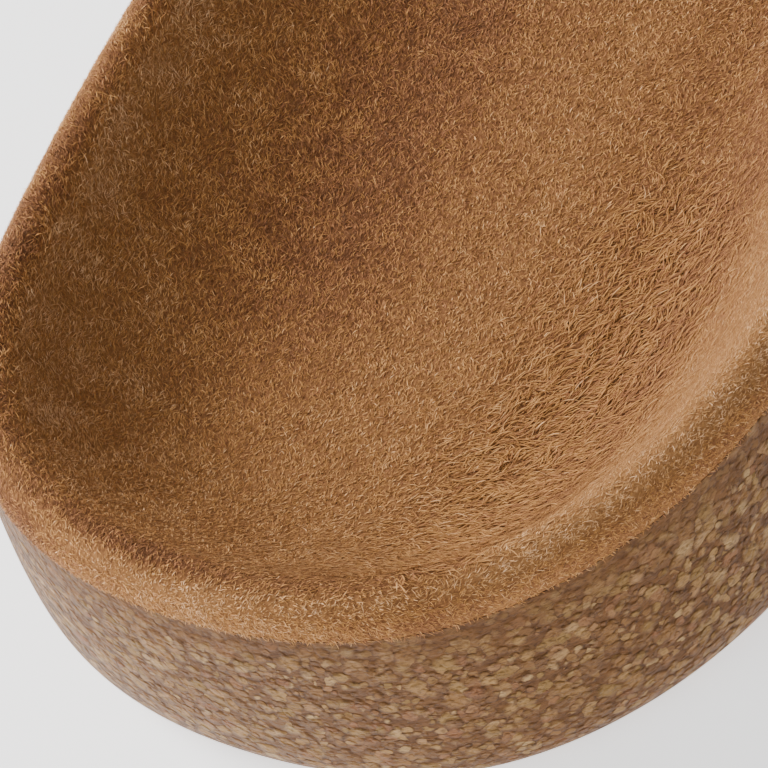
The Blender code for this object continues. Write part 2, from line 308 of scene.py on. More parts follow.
def row_slopes(at: Floats, values: Floats, limit: float = 2.5) -> Floats:
    """Slopes of a table's rows for a cubic that stays level where two rows are equal.

    Each slope is the mean slope of the two spans beside the row, no steeper than limit times the flatter one,
    and nought where the spans run opposite ways.

    Args:
        at: places of the rows, rising.
        values: the rows' values.
        limit: steepest slope, in times of the flatter span's.

    Returns:
        One slope for each row.
    """
    secant = np.diff(values) / np.diff(at)
    before, after = secant[:-1], secant[1:]
    most = limit * np.minimum(abs(before), abs(after))
    inner = np.clip(np.gradient(values, at)[1:-1], -most, most)
    return np.concatenate([secant[:1], np.where(before * after > 0, inner, 0), secant[-1:]])


def cubic_rows(at: Sequence[float], values: Sequence[float], where: Floats) -> Floats:
    """Reads a table's column between its rows, as a cubic Hermite curve through them.

    Args:
        at: places of the rows, rising.
        values: the rows' values.
        where: places to read.

    Returns:
        The column's values there.
    """
    at, values, where = np.asarray(at, float), np.asarray(values, float), np.asarray(where, float)
    slopes = row_slopes(at, values)
    i = np.clip(np.searchsorted(at, where, side="right") - 1, 0, len(at) - 2)
    step = at[i + 1] - at[i]
    u = (where - at[i]) / step
    return (
        values[i] * (1 + 2 * u) * (1 - u) ** 2
        + slopes[i] * step * u * (1 - u) ** 2
        + values[i + 1] * u**2 * (3 - 2 * u)
        - slopes[i + 1] * step * u**2 * (1 - u)
    )


def closed_spline(points: Sequence[OutlinePoint], count: int) -> Floats:
    """Smooth closed curve through points: a periodic cubic spline over chord length.

    Args:
        points: the curve's points in order.
        count: how many samples to return.

    Returns:
        The samples, one row each.
    """
    points = np.asarray(points, float)
    size = len(points)
    after = np.linalg.norm(np.roll(points, -1, 0) - points, axis=1)
    before = np.roll(after, 1)
    eye = np.eye(size)
    system = np.diag(2 / before + 2 / after)
    system += np.roll(eye, 1, 1) / after[:, None] + np.roll(eye, -1, 1) / before[:, None]
    right = 3 * (points - np.roll(points, 1, 0)) / before[:, None] ** 2
    right += 3 * (np.roll(points, -1, 0) - points) / after[:, None] ** 2
    slopes = np.linalg.solve(system, right)
    knots = np.concatenate([[0], np.cumsum(after)])
    where = np.linspace(0, knots[-1], count, endpoint=False)
    span = np.clip(np.searchsorted(knots, where, side="right") - 1, 0, size - 1)
    following = (span + 1) % size
    length = after[span][:, None]
    u = (where - knots[span])[:, None] / length
    return (
        points[span] * (1 + 2 * u) * (1 - u) ** 2
        + slopes[span] * length * u * (1 - u) ** 2
        + points[following] * u**2 * (3 - 2 * u)
        - slopes[following] * length * u**2 * (1 - u)
    )


def smooth_fall(u: Floats) -> Floats:
    """1 at u = 0 falling to 0 at u = 1 by a cubic that is level at both ends."""
    u = np.clip(u, 0, 1)
    return 1 - u * u * (3 - 2 * u)


def soft_noise(
    x: Floats, y: Floats, size: float, seed: int, waves: int = 24, rates: Span = (0.6, 1.5)
) -> Floats:
    """Smooth random field: a sum of cosine waves of about one length in random directions.

    Args:
        x: first coordinate.
        y: second coordinate.
        size: mean wavelength, in the coordinates' unit.
        seed: picks the waves.
        waves: how many waves are summed.
        rates: least and most times that a wave runs over the mean length.

    Returns:
        Values with a mean of 0 and a spread of about 1.
    """
    draw = np.random.default_rng(seed)
    turn = draw.uniform(0, 2 * np.pi, waves)
    rate = 2 * np.pi / size * draw.uniform(*rates, waves)
    phase = draw.uniform(0, 2 * np.pi, waves)
    total = np.zeros(np.shape(x))
    for angle, speed, start in zip(turn, rate, phase):
        total += np.cos(speed * (np.cos(angle) * x + np.sin(angle) * y) + start)
    return total * math.sqrt(2 / waves)


def grid_mesh(name: str, rows: Floats, closed: bool) -> bpy.types.Mesh:
    """Mesh over a grid of points, each row joined to the next by a strip of quads.

    Args:
        name: the mesh's name.
        rows: array of rows by points by 3.
        closed: whether each row is a ring.

    Returns:
        The mesh, with coinciding points merged and its faces smooth.
    """
    depth, count = rows.shape[:2]
    last = count if closed else count - 1
    first, at = np.meshgrid(np.arange(depth - 1), np.arange(last), indexing="ij")
    beside = (at + 1) % count
    quads = np.stack([first * count + at, first * count + beside], -1)
    quads = np.concatenate([quads, quads[..., ::-1] + count], -1).reshape(-1, 4)
    mesh = bpy.data.meshes.new(name)
    mesh.from_pydata(rows.reshape(-1, 3), [], quads)
    shape = bmesh.new()
    shape.from_mesh(mesh)
    bmesh.ops.remove_doubles(shape, verts=shape.verts, dist=MERGE)
    bmesh.ops.dissolve_degenerate(shape, edges=shape.edges, dist=SLIVER)
    bmesh.ops.recalc_face_normals(shape, faces=shape.faces)
    shape.to_mesh(mesh)
    shape.free()
    return mesh


def face_up(mesh: bpy.types.Mesh) -> None:
    """Turns an open sheet over if its faces point down on the whole.

    Args:
        mesh: the sheet.
    """
    tilt = np.empty(len(mesh.polygons) * 3)
    area = np.empty(len(mesh.polygons))
    mesh.polygons.foreach_get("normal", tilt)
    mesh.polygons.foreach_get("area", area)
    if (tilt.reshape(-1, 3)[:, 2] * area).sum() < 0:
        mesh.flip_normals()


def add_piece(name: str, mesh: bpy.types.Mesh) -> bpy.types.Object:
    """Links a new object of a mesh to the scene.

    Args:
        name: the object's name.
        mesh: its mesh.

    Returns:
        The object, at the origin.
    """
    piece = bpy.data.objects.new(name, mesh)
    bpy.context.scene.collection.objects.link(piece)
    return piece


def add_wall(piece: bpy.types.Object, outside: float, inside: float) -> None:
    """Gives an open sheet a wall.

    Args:
        piece: the sheet.
        outside: how far the wall stands out of the sheet.
        inside: how far it reaches behind the sheet.
    """
    wall = piece.modifiers.new("wall", "SOLIDIFY")
    wall.thickness = outside + inside
    wall.offset = (outside - inside) / (outside + inside)
    wall.use_even_offset = True
    wall.use_quality_normals = True


def apply_modifiers(piece: bpy.types.Object) -> None:
    """Replaces a piece's mesh by what its modifiers make of it, and removes them.

    Args:
        piece: the piece.
    """
    graph = bpy.context.evaluated_depsgraph_get()
    mesh = bpy.data.meshes.new_from_object(piece.evaluated_get(graph))
    piece.modifiers.clear()
    piece.data = mesh


def point_array(mesh: bpy.types.Mesh) -> Floats:
    """A mesh's points, one row each.

    Args:
        mesh: the mesh.

    Returns:
        Points by 3.
    """
    points = np.empty(len(mesh.vertices) * 3)
    mesh.vertices.foreach_get("co", points)
    return points.reshape(-1, 3)


def mark(mesh: bpy.types.Mesh, name: str, values: Floats) -> None:
    """Stores a value for each point of a mesh as an attribute."""
    layer = mesh.attributes.new(name, "FLOAT", "POINT")
    layer.data.foreach_set("value", values.astype(np.float32))


def shade(mesh: bpy.types.Mesh, sharp_degrees: float) -> None:
    """Shades a mesh smooth, with sharp edges where faces turn by more than an angle."""
    mesh.shade_smooth()
    mesh.set_sharp_from_angle(angle=math.radians(sharp_degrees))


def report(piece: bpy.types.Object) -> None:
    """Logs a piece's name and triangle count."""
    piece.data.calc_loop_triangles()
    LOG.info("%s: %d triangles", piece.name, len(piece.data.loop_triangles))


@dataclass
class SoleForm:
    """Plan, heights and rim of the sole, from which cork, liner and upper are worked out."""

    length: float = 268 * MM
    rim_inset: float = 0.6 * MM
    rim_radius: float = 2.3 * MM
    most_ease: float = 0.6
    slope_crowding: float = 1.3
    lip_drop: float = 3.1 * MM
    seat_gap: float = 0.3 * MM
    liner_wall: float = 1.5 * MM
    spine_heel: float = 0.14
    spine_toe: float = 0.83
    turn_weight: float = 0.4
    pad: Mound = Mound(-2 * MM, 0.575, 24 * MM, 2.2 * MM)
    toe_bar: Mound = Mound(0, 0.830, 15 * MM, 1.4 * MM)
    pad_stretch: float = 1.25
    bar_bend: float = 14 * MM
    bar_half_width: float = 51.5 * MM
    rear_end: float = 8 * MM
    front_start: float = 41 * MM
    # crest_reach to plain_fade place the nap's painted light and shade on the rim and fade it out past the
    # heel.
    crest_reach: float = 1.4 * MM
    crest_end: float = 0.9
    crest_turn: float = 0.6
    steepest: float = 0.76
    lip_start: float = 0.5
    plain_shade: float = 0.47
    plain_start: float = 78 * MM
    plain_fade: float = 36 * MM
    samples: int = 14400
    curve: Floats = field(init=False)
    medial_side: Floats = field(init=False)
    lateral_side: Floats = field(init=False)
    back: float = field(init=False)

    def __post_init__(self) -> None:
        """Works out the outline from the back of the heel, centred on the origin, and its two sides."""
        curve = closed_spline(OUTLINE, self.samples) * MM
        curve -= (curve.min(0) + curve.max(0)) / 2
        self.curve = np.roll(curve, -int(np.argmin(curve[:, 1])), 0)
        toe = int(np.argmax(self.curve[:, 1]))
        tangent = np.roll(self.curve, -1, 0) - np.roll(self.curve, 1, 0)
        tangent /= np.linalg.norm(tangent, axis=1)[:, None]
        whole = np.column_stack([self.curve, -tangent[:, 1], tangent[:, 0]])
        self.medial_side = whole[: toe + 1]
        self.lateral_side = np.concatenate([whole[toe:], whole[:1]])[::-1]
        self.back = float(self.curve[0, 1])

    def share(self, y: Floats) -> Floats:
        """Position along the sole, from 0 at the heel to 1 at the toe."""
        return np.clip((np.asarray(y, float) - self.back) / self.length, 0, 1)

    def column(self, name: str, share: Floats) -> Floats:
        """A column of the stations, in metres, at a share of the length."""
        values = [getattr(row, name) for row in STATIONS]
        return cubic_rows([row.along for row in STATIONS], values, share) * MM

    def side_x(self, y: Floats) -> tuple[Floats, Floats]:
        """Across positions of the outline at y.

        Args:
            y: along positions.

        Returns:
            Those of the little-toe side and of the big-toe side.
        """
        lateral = np.interp(y, self.lateral_side[:, 1], self.lateral_side[:, 0])
        medial = np.interp(y, self.medial_side[:, 1], self.medial_side[:, 0])
        return lateral, medial

    def on_spine(self, y: Floats) -> Floats:
        """Along position of the spine point beside y, kept between the spine's ends."""
        ends = self.back + np.array([self.spine_heel, self.spine_toe]) * self.length
        return np.clip(y, *ends)

    def travel(self, y: Floats, side: Floats) -> Floats:
        """How far along one side y is: a mix of the length and of the turn of the outline up to it.

        Args:
            y: along positions.
            side: points of that side, from heel to toe.

        Returns:
            Shares from 0 at the heel to 1 at the toe.
        """
        step = np.diff(side[:, :2], axis=0)
        turn = abs(np.gradient(np.unwrap(np.arctan2(step[:, 1], step[:, 0]))))
        length = np.linalg.norm(step, axis=1)
        share = (1 - self.turn_weight) * length / length.sum() + self.turn_weight * turn / turn.sum()
        return np.interp(y, side[:, 1], np.concatenate([[0], np.cumsum(share)]))

    def ring(self, side_stations: int) -> Ring:
        """Points round the outline in pairs that face each other across the spine.

        Args:
            side_stations: how many steps from heel to toe.

        Returns:
            The ring, from the heel up the big-toe side and back.
        """
        y = np.linspace(self.back, self.back + self.length, self.samples)
        travel = (self.travel(y, self.medial_side) + self.travel(y, self.lateral_side)) / 2
        along = np.interp(np.linspace(0, 1, side_stations + 1), travel, y)
        sides = []
        for side, at in ((self.medial_side, along[:-1]), (self.lateral_side, along[:0:-1])):
            sides.append(np.stack([np.interp(at, side[:, 1], side[:, i]) for i in range(4)], 1))
        ring = np.concatenate(sides)
        inward = ring[:, 2:] / np.linalg.norm(ring[:, 2:], axis=1)[:, None]
        spine_y = self.on_spine(np.concatenate([along[:-1], along[:0:-1]]))
        left, right = self.side_x(spine_y)
        spine = np.stack([(left + right) / 2, spine_y], 1)
        medial = self.medial_share(ring[:, 0], ring[:, 1])
        return Ring(ring[:, :2], inward, spine, self.share(ring[:, 1]), medial)

    def medial_share(self, x: Floats, y: Floats) -> Floats:
        """Position across the sole, from 0 at the little-toe side to 1 at the big-toe side."""
        left, right = self.side_x(self.on_spine(y))
        return np.clip((x - left) / (right - left), 0, 1)

    def across(self, x: Floats, y: Floats) -> Floats:
        """Position across the sole, from -1 at the little-toe side to 1 at the big-toe side."""
        return 2 * self.medial_share(x, y) - 1

    def rim_height(self, x: Floats, y: Floats) -> Floats:
        """Height of the rim at the same place along and across the sole.

        Args:
            x: across positions.
            y: along positions.

        Returns:
            Heights in metres.
        """
        share = self.share(y)
        lateral = self.column("lateral_rim", share)
        return lateral + (self.column("medial_rim", share) - lateral) * self.medial_share(x, y)

    def forward(self, y: Floats) -> Floats:
        """0 at the heel, where the tables' rear columns hold, rising to 1 where their front ones do."""
        return np.clip((y - self.back - self.rear_end) / (self.front_start - self.rear_end), 0, 1)

    def leaning(self, point: Floats, normal: Floats) -> Floats:
        """Outward part of normals: their part along the level direction away from the sole's spine.

        Args:
            point: points, one row each.
            normal: the face's unit normals there.

        Returns:
            Parts from -1, facing the spine, to 1, facing away from it.
        """
        outward = np.stack([point[:, 0], point[:, 1] - self.on_spine(point[:, 1])], 1)
        outward /= np.linalg.norm(outward, axis=1)[:, None] + MM
        return (normal[:, :2] * outward).sum(1)

    def nap_painted_shading(self, point: Floats, normal: Floats, roll_share: float = 1.0) -> Floats:
        """Painted light and shade of the nap on the liner: the shading table read across the sole, blended
        from heel to front.

        With r the outward part of the normal, the crest's painted shade fades with the depth below the rim
        and, away from the little-toe rim, towards r = crest_end. The roll's painted light and shade has the
        share
        4 * r * (1 - r), so it is all on the rim's shoulder, and the lip's painted shade rises from r =
        lip_start to 1.
        The steep's painted shade has as its share the cube of the inward part over the one that the steepest
        slope has. From plain_start on all of it fades to one plain shade.

        Args:
            point: points, one row each.
            normal: the face's unit normals there.
            roll_share: how much of the roll's painted light and shade counts.

        Returns:
            Shades from about 0 to 1.
        """
        x, y, z = point.T
        leaning, across = self.leaning(point, normal), self.across(x, y)
        places = [row.across for row in PAINTED_NAP_SHADING]
        rear, front, crest, roll, lip, steep = (
            np.interp(across, places, [getattr(row, name) for row in PAINTED_NAP_SHADING]) for name in PaintedNapShading._fields[1:]
        )
        outer = np.clip(leaning / self.crest_end, 0, 1) * np.clip((across + 1) / self.crest_turn, 0, 1)
        near = np.clip(1 - (self.rim_height(x, y) - z) / self.crest_reach, 0, 1) * (1 - outer)
        shoulder = 4 * np.clip(leaning, 0, 1) * np.clip(1 - leaning, 0, 1)
        inside = np.clip(-leaning / self.steepest, 0, 1) ** 3
        edge = np.clip((leaning - self.lip_start) / (1 - self.lip_start), 0, 1)
        # Painted shade on the crest, lip and inner side, and painted light and shade on the shoulder.
        rim = crest * near + roll_share * roll * shoulder + lip * edge + steep * inside
        shading_kept = smooth_fall((y - self.back - self.plain_start) / self.plain_fade)
        return self.plain_shade + (rear + (front - rear) * self.forward(y) + rim - self.plain_shade) * shading_kept

    def blend(self, name: str, ring: Ring) -> Floats:
        """A rim or run column, blended across from the little-toe side to the big-toe side."""
        lateral = self.column("lateral_" + name, ring.share)
        return lateral + (self.column("medial_" + name, ring.share) - lateral) * ring.medial_share

    def floor_height(self, x: Floats, y: Floats) -> Floats:
        """Height of the floor: the stations' floor plus a round pad and a bent bar, each a smooth mound.

        Args:
            x: across positions.
            y: along positions.

        Returns:
            Heights in metres.
        """
        share = (y - self.back) / self.length
        ahead = (share - self.pad.along) * self.length / self.pad_stretch
        away = np.hypot(x - self.pad.across, ahead) / self.pad.reach
        bend = self.bar_bend * (x / self.bar_half_width) ** 2
        off_bar = abs(y - self.back - self.toe_bar.along * self.length + bend) / self.toe_bar.reach
        mounds = self.pad.height * smooth_fall(away) + self.toe_bar.height * smooth_fall(off_bar)
        return self.column("floor", self.share(y)) + mounds

    def rim_profile(
        self, ring: Ring, arc_steps: int, slope_steps: int, depth: float = 0.0
    ) -> tuple[Floats, Floats]:
        """Profile of the liner's face: upright lip, quarter circle over the rim and bowl down to the floor.

        Over the bowl's span the height share is 1 - u^2 / ease up to u = ease, which bends with the rim's
        radius, and (1 - u)^2 / (1 - ease) from there. The profile is moved into the sole square to its slope.

        Args:
            ring: points round the outline.
            arc_steps: steps over the rim.
            slope_steps: steps down to the floor.
            depth: how far it is moved.

        Returns:
            Insets from the outline and heights, each rows by points of the ring.
        """
        rim, run = self.blend("rim", ring), self.blend("run", ring)
        foot = ring.point + ring.inward * run[:, None]
        floor = self.floor_height(foot[:, 0], foot[:, 1])
        crest, radius = self.rim_inset + self.rim_radius, self.rim_radius - depth
        angle = np.linspace(0, np.pi / 2, arc_steps + 1)[:, None]
        arc = crest - radius * np.cos(angle) + 0 * rim
        over = rim - self.rim_radius + radius * np.sin(angle)
        u = np.linspace(0, 1, slope_steps + 1)[1:, None] ** self.slope_crowding
        span, rise = run - crest, rim - floor
        ease = np.minimum(2 * self.rim_radius * rise / span**2, self.most_ease)
        fall = np.where(u < ease, 1 - u**2 / ease, (1 - u) ** 2 / (1 - ease))
        steepness = np.where(u < ease, 2 * u / ease, 2 * (1 - u) / (1 - ease)) * rise / span
        level = 1 / np.hypot(1, steepness)
        insets = np.concatenate([arc[:1], arc, crest + u * span - depth * steepness * level])
        heights = np.concatenate([(rim - self.lip_drop)[None], over, floor + rise * fall - depth * level])
        return insets, heights

    def lay(self, ring: Ring, insets: Floats, heights: Floats) -> Floats:
        """Points of a profile carried round the outline, as rows by points by 3."""
        plan = ring.point[None] + ring.inward[None] * insets[..., None]
        return np.concatenate([plan, heights[..., None]], -1)

    def floor_rows(self, ring: Ring, last_row: Floats, steps: int, depth: float) -> Floats:
        """Rows from the foot of the slope straight to the spine, over the floor.

        Args:
            ring: points round the outline.
            last_row: the row that the floor starts from.
            steps: how many rows.
            depth: how far the rows lie below the liner's face.

        Returns:
            Rows by points by 3.
        """
        u = np.linspace(0, 1, steps + 1)[1:, None, None]
        plan = last_row[None, :, :2] + (ring.spine - last_row[:, :2])[None] * u
        height = self.floor_height(plan[..., 0], plan[..., 1]) - depth
        return np.concatenate([plan, height[..., None]], -1)


class Granule(NamedTuple):
    """A size of cork crumb: its cell in metres, and the least and most radius as shares of the cell."""

    cell: float
    least: float
    most: float


@dataclass(frozen=True)
class CorkFinish:
    """Cork granules bonded with latex, moulded and sealed: pale crumbs in a brown binder, a thin sheen."""

    granules: tuple[Granule, ...] = (
        Granule(1.9 * MM, 0.10, 0.80),
        Granule(1.25 * MM, 0.25, 0.95),
        Granule(0.8 * MM, 0.30, 0.95),
    )
    crumb_tones: Stops = (
        (0.0, "74502F"),
        (0.22, "8C6337"),
        (0.45, "A57F4E"),
        (0.60, "8E6C3B"),
        (0.75, "8A5C3A"),
        (0.88, "A47C50"),
        (1.0, "B29061"),
    )
    # Painted shade: each crumb darker towards its edge, so that it looks rounded.
    crumb_rounding_shade_tones: Stops = ((0.05, "C2B6AA"), (0.4, "FFFFFF"))
    binder_tones: Stops = ((0.3, "5A3819"), (0.7, "785028"))
    grain_tones: Stops = ((0.25, "968C82"), (0.5, "EEECEA"), (0.75, "FFFFFF"))
    crumb_bend: float = 0.6 * MM
    bend_size: float = 0.9 * MM
    crumb_fade: float = 0.36
    crumb_press: float = 1.2
    smear_size: float = 2 * MM
    smear_press: float = 3.5
    grain_size: float = 0.45 * MM
    patch: float = 5 * MM
    sealed_depth: float = 5 * MM
    sealed_wander: float = 6 * MM
    sealed_show: float = 0.25
    relief: float = 0.2 * MM
    relief_strength: float = 0.9
    roughness: float = 0.5
    specular: float = 0.15

    def material(self) -> bpy.types.Material:
        """Builds the material.

        Three sizes of Voronoi cell, flattened by the press, give the crumbs. Each cell has its own colour and
        its own radius, so that some are large and some hardly show. A crumb fades into the binder towards its
        edge, as it does under lacquer, and is darkened there as painted shade that makes it look rounded.
        Near the rim the sealing smears most of them over.

        Returns:
            The cork material.
        """
        material, tree, shader = new_material("moulded_cork_granulate")
        place = add_node(tree, "TexCoord", out="Object")
        bends = {"Vector": place, "Scale": 1 / self.bend_size, "Detail": 4.0}
        warp = add_node(tree, "TexNoise", bends, "Color")
        shift = add_node(tree, "VectorMath", {0: warp, 1: (0.5, 0.5, 0.5)}, operation="SUBTRACT")
        reach = (self.crumb_bend,) * 3
        bent = add_node(tree, "VectorMath", {0: shift, 1: reach, 2: place}, operation="MULTIPLY_ADD")
        pressed = add_node(tree, "Mapping", {"Vector": bent, "Scale": (1.0, 1.0, self.crumb_press)})
        smeared = add_node(tree, "Mapping", {"Vector": bent, "Scale": (1.0, 1.0, self.smear_press)})
        patches = add_node(tree, "TexNoise", {"Vector": place, "Scale": 1 / self.patch, "Detail": 3.0})
        smear = add_node(tree, "TexNoise", {"Vector": smeared, "Scale": 1 / self.smear_size, "Detail": 4.0})
        depth = add_node(tree, "Attribute", out="Fac", attribute_name="rim_depth")
        wander = {0: patches, 1: -self.sealed_wander, 2: depth}
        sealing = {
            "Value": add_node(tree, "Math", wander, operation="MULTIPLY_ADD"),
            "From Min": -self.sealed_wander / 2,
            "From Max": self.sealed_depth - self.sealed_wander / 2,
            "To Min": self.sealed_show,
        }
        bare = add_node(tree, "MapRange", sealing, interpolation_type="SMOOTHSTEP")
        colour = add_node(tree, "ValToRGB", {"Fac": smear}, stops=self.binder_tones)
        relief = smear
        for granule in self.granules[::-1]:
            cells = {"Vector": pressed, "Scale": 1 / granule.cell, "Randomness": 1.0}
            cell = add_node(tree, "TexVoronoi", cells, "Color")
            chance = add_node(tree, "SeparateColor", {"Color": cell}).node.outputs
            sizes = {"Value": chance[0], "To Min": granule.least, "To Max": granule.most}
            radius = add_node(tree, "MapRange", sizes)
            away = cell.node.outputs["Distance"]
            inside = add_node(tree, "Math", {0: radius, 1: away}, operation="SUBTRACT")
            fade = {"Value": inside, "From Min": 0.0, "From Max": self.crumb_fade}
            body = add_node(tree, "MapRange", fade, interpolation_type="SMOOTHSTEP")
            shown = add_node(tree, "Math", {0: body, 1: bare}, operation="MULTIPLY")
            hue = add_node(tree, "ValToRGB", {"Fac": chance[1]}, stops=self.crumb_tones)
            # Painted shade: the crumb darkens towards its edge, so that it looks rounded.
            edge = add_node(tree, "ValToRGB", {"Fac": inside}, stops=self.crumb_rounding_shade_tones)
            hue = add_node(tree, "Mix", {"Factor": 1.0, 6: hue, 7: edge}, 2, **MULTIPLIED)
            colour = add_node(tree, "Mix", {"Factor": shown, 6: colour, 7: hue}, 2, data_type="RGBA")
            relief = add_node(tree, "Math", {0: relief, 1: shown}, operation="ADD")
        grit = {"Vector": smeared, "Scale": 1 / self.grain_size, "Detail": 3.0, "Roughness": 0.6}
        grain = add_node(tree, "TexNoise", grit)
        tone = add_node(tree, "ValToRGB", {"Fac": grain}, stops=self.grain_tones)
        colour = add_node(tree, "Mix", {"Factor": 1.0, 6: colour, 7: tone}, 2, **MULTIPLIED)
        lumps = {"Height": relief, "Strength": self.relief_strength, "Distance": self.relief}
        feed(tree, shader, {"Base Color": colour, "Normal": add_node(tree, "Bump", lumps)})
        feed(tree, shader, {"Roughness": self.roughness, "Specular IOR Level": self.specular})
        return material


@dataclass(frozen=True)
class LinerFinish:
    """Brushed microfibre under its nap: a matt brown ground that shows between the fibres."""

    ground_tones: Stops = ((0.0, "402A18"), (0.3, "6A4227"), (0.7, "A07044"), (1.0, "C89A66"))
    usual_shade: float = 0.47
    fleck: float = 0.5 * MM
    relief: float = 0.25 * MM
    relief_strength: float = 0.8
    roughness: float = 0.95
    specular: float = 0.15

    def material(self) -> bpy.types.Material:
        """Builds the material: fine noise over browns, moved by the nap's painted light and shade, and a bump
        of that noise.

        Returns:
            The ground material of the liner.
        """
        material, tree, shader = new_material("brushed_microfibre")
        place = add_node(tree, "TexCoord", out="Object")
        flecks = {"Scale": 1 / self.fleck, "Detail": 5.0, "Roughness": 0.7, "Distortion": 0.6}
        fine = add_node(tree, "TexNoise", {"Vector": place, **flecks})
        # The ground's colour follows the nap's painted light and shade, stored on the liner's points.
        lay = add_node(tree, "Attribute", out="Fac", attribute_name="nap_painted_shading")
        moved = add_node(tree, "Math", {0: lay, 1: self.usual_shade}, operation="SUBTRACT")
        level = add_node(tree, "Math", {0: moved, 1: fine}, operation="ADD")
        colour = add_node(tree, "ValToRGB", {"Fac": level}, stops=self.ground_tones)
        lumps = {"Height": fine, "Strength": self.relief_strength, "Distance": self.relief}
        feed(tree, shader, {"Base Color": colour, "Normal": add_node(tree, "Bump", lumps)})
        feed(tree, shader, {"Roughness": self.roughness, "Specular IOR Level": self.specular})
        return material


@dataclass(frozen=True)
class FibreFinish:
    """Loose fibres of the nap: each has one shade between brown and pale tan, and is darker at its root."""

    tones: Stops = ((0.0, "5C4029"), (0.3, "9C6641"), (0.55, "BC8549"), (0.8, "D8A572"), (1.0, "E8BA8C"))
    root_tones: Stops = ((0.0, "A89C92"), (0.45, "FFFFFF"))
    roughness: float = 0.85
    specular: float = 0.2

    def material(self) -> bpy.types.Material:
        """Builds the material: the fibre's map gives its shade along U and the way from root to tip along V.

        Returns:
            The fibre material.
        """
        material, tree, shader = new_material("nap_fibre")
        place = add_node(tree, "UVMap", uv_map=BAKE_MAP)
        parts = add_node(tree, "SeparateXYZ", {0: place}).node.outputs
        hue = add_node(tree, "ValToRGB", {"Fac": parts[0]}, stops=self.tones)
        along = add_node(tree, "ValToRGB", {"Fac": parts[1]}, stops=self.root_tones)
        colour = add_node(tree, "Mix", {"Factor": 1.0, 6: hue, 7: along}, 2, **MULTIPLIED)
        feed(tree, shader, {"Base Color": colour})
        feed(tree, shader, {"Roughness": self.roughness, "Specular IOR Level": self.specular})
        return material


@dataclass(frozen=True)
class FeltFinish:
    """Pressed felt of the upper: matt brown with matted fibres and soft mottling."""

    tones: Stops = ((0.35, "53331B"), (0.65, "7B5230"))
    fibre: float = 0.9 * MM
    mottle: float = 9 * MM
    mottle_share: float = 0.35
    relief: float = 0.3 * MM
    relief_strength: float = 0.7
    roughness: float = 0.92
    specular: float = 0.2
    sheen: float = 0.25
    sheen_roughness: float = 0.5

    def material(self) -> bpy.types.Material:
        """Builds the material: warped fine noise for the fibres over broad noise for the mottling.

        Returns:
            The felt material.
        """
        material, tree, shader = new_material("pressed_felt")
        place = add_node(tree, "TexCoord", out="Object")
        matted = {"Scale": 1 / self.fibre, "Detail": 6.0, "Roughness": 0.75, "Distortion": 1.5}
        fine = add_node(tree, "TexNoise", {"Vector": place, **matted})
        broad = add_node(tree, "TexNoise", {"Vector": place, "Scale": 1 / self.mottle, "Detail": 3.0})
        mixed = add_node(tree, "Mix", {"Factor": self.mottle_share, 2: fine, 3: broad}, data_type="FLOAT")
        colour = add_node(tree, "ValToRGB", {"Fac": mixed}, stops=self.tones)
        lumps = {"Height": fine, "Strength": self.relief_strength, "Distance": self.relief}
        feed(tree, shader, {"Base Color": colour, "Normal": add_node(tree, "Bump", lumps)})
        feed(tree, shader, {"Roughness": self.roughness, "Specular IOR Level": self.specular})
        feed(tree, shader, {"Sheen Weight": self.sheen, "Sheen Roughness": self.sheen_roughness})
        return material


@dataclass(frozen=True)
class FloorFinish:
    """Painted studio floor: near white and matt, with a faint glow as a lit sweep has."""

    colour: str = "F7F7F7"
    glow: float = 1.4
    roughness: float = 0.9
    specular: float = 0.0

    def material(self) -> bpy.types.Material:
        """Builds the material from one colour.

        Returns:
            The floor material.
        """
        material, tree, shader = new_material("matt_white_paint")
        paint = linear(self.colour)
        feed(tree, shader, {"Base Color": paint, "Emission Color": paint, "Emission Strength": self.glow})
        feed(tree, shader, {"Roughness": self.roughness, "Specular IOR Level": self.specular})
        return material


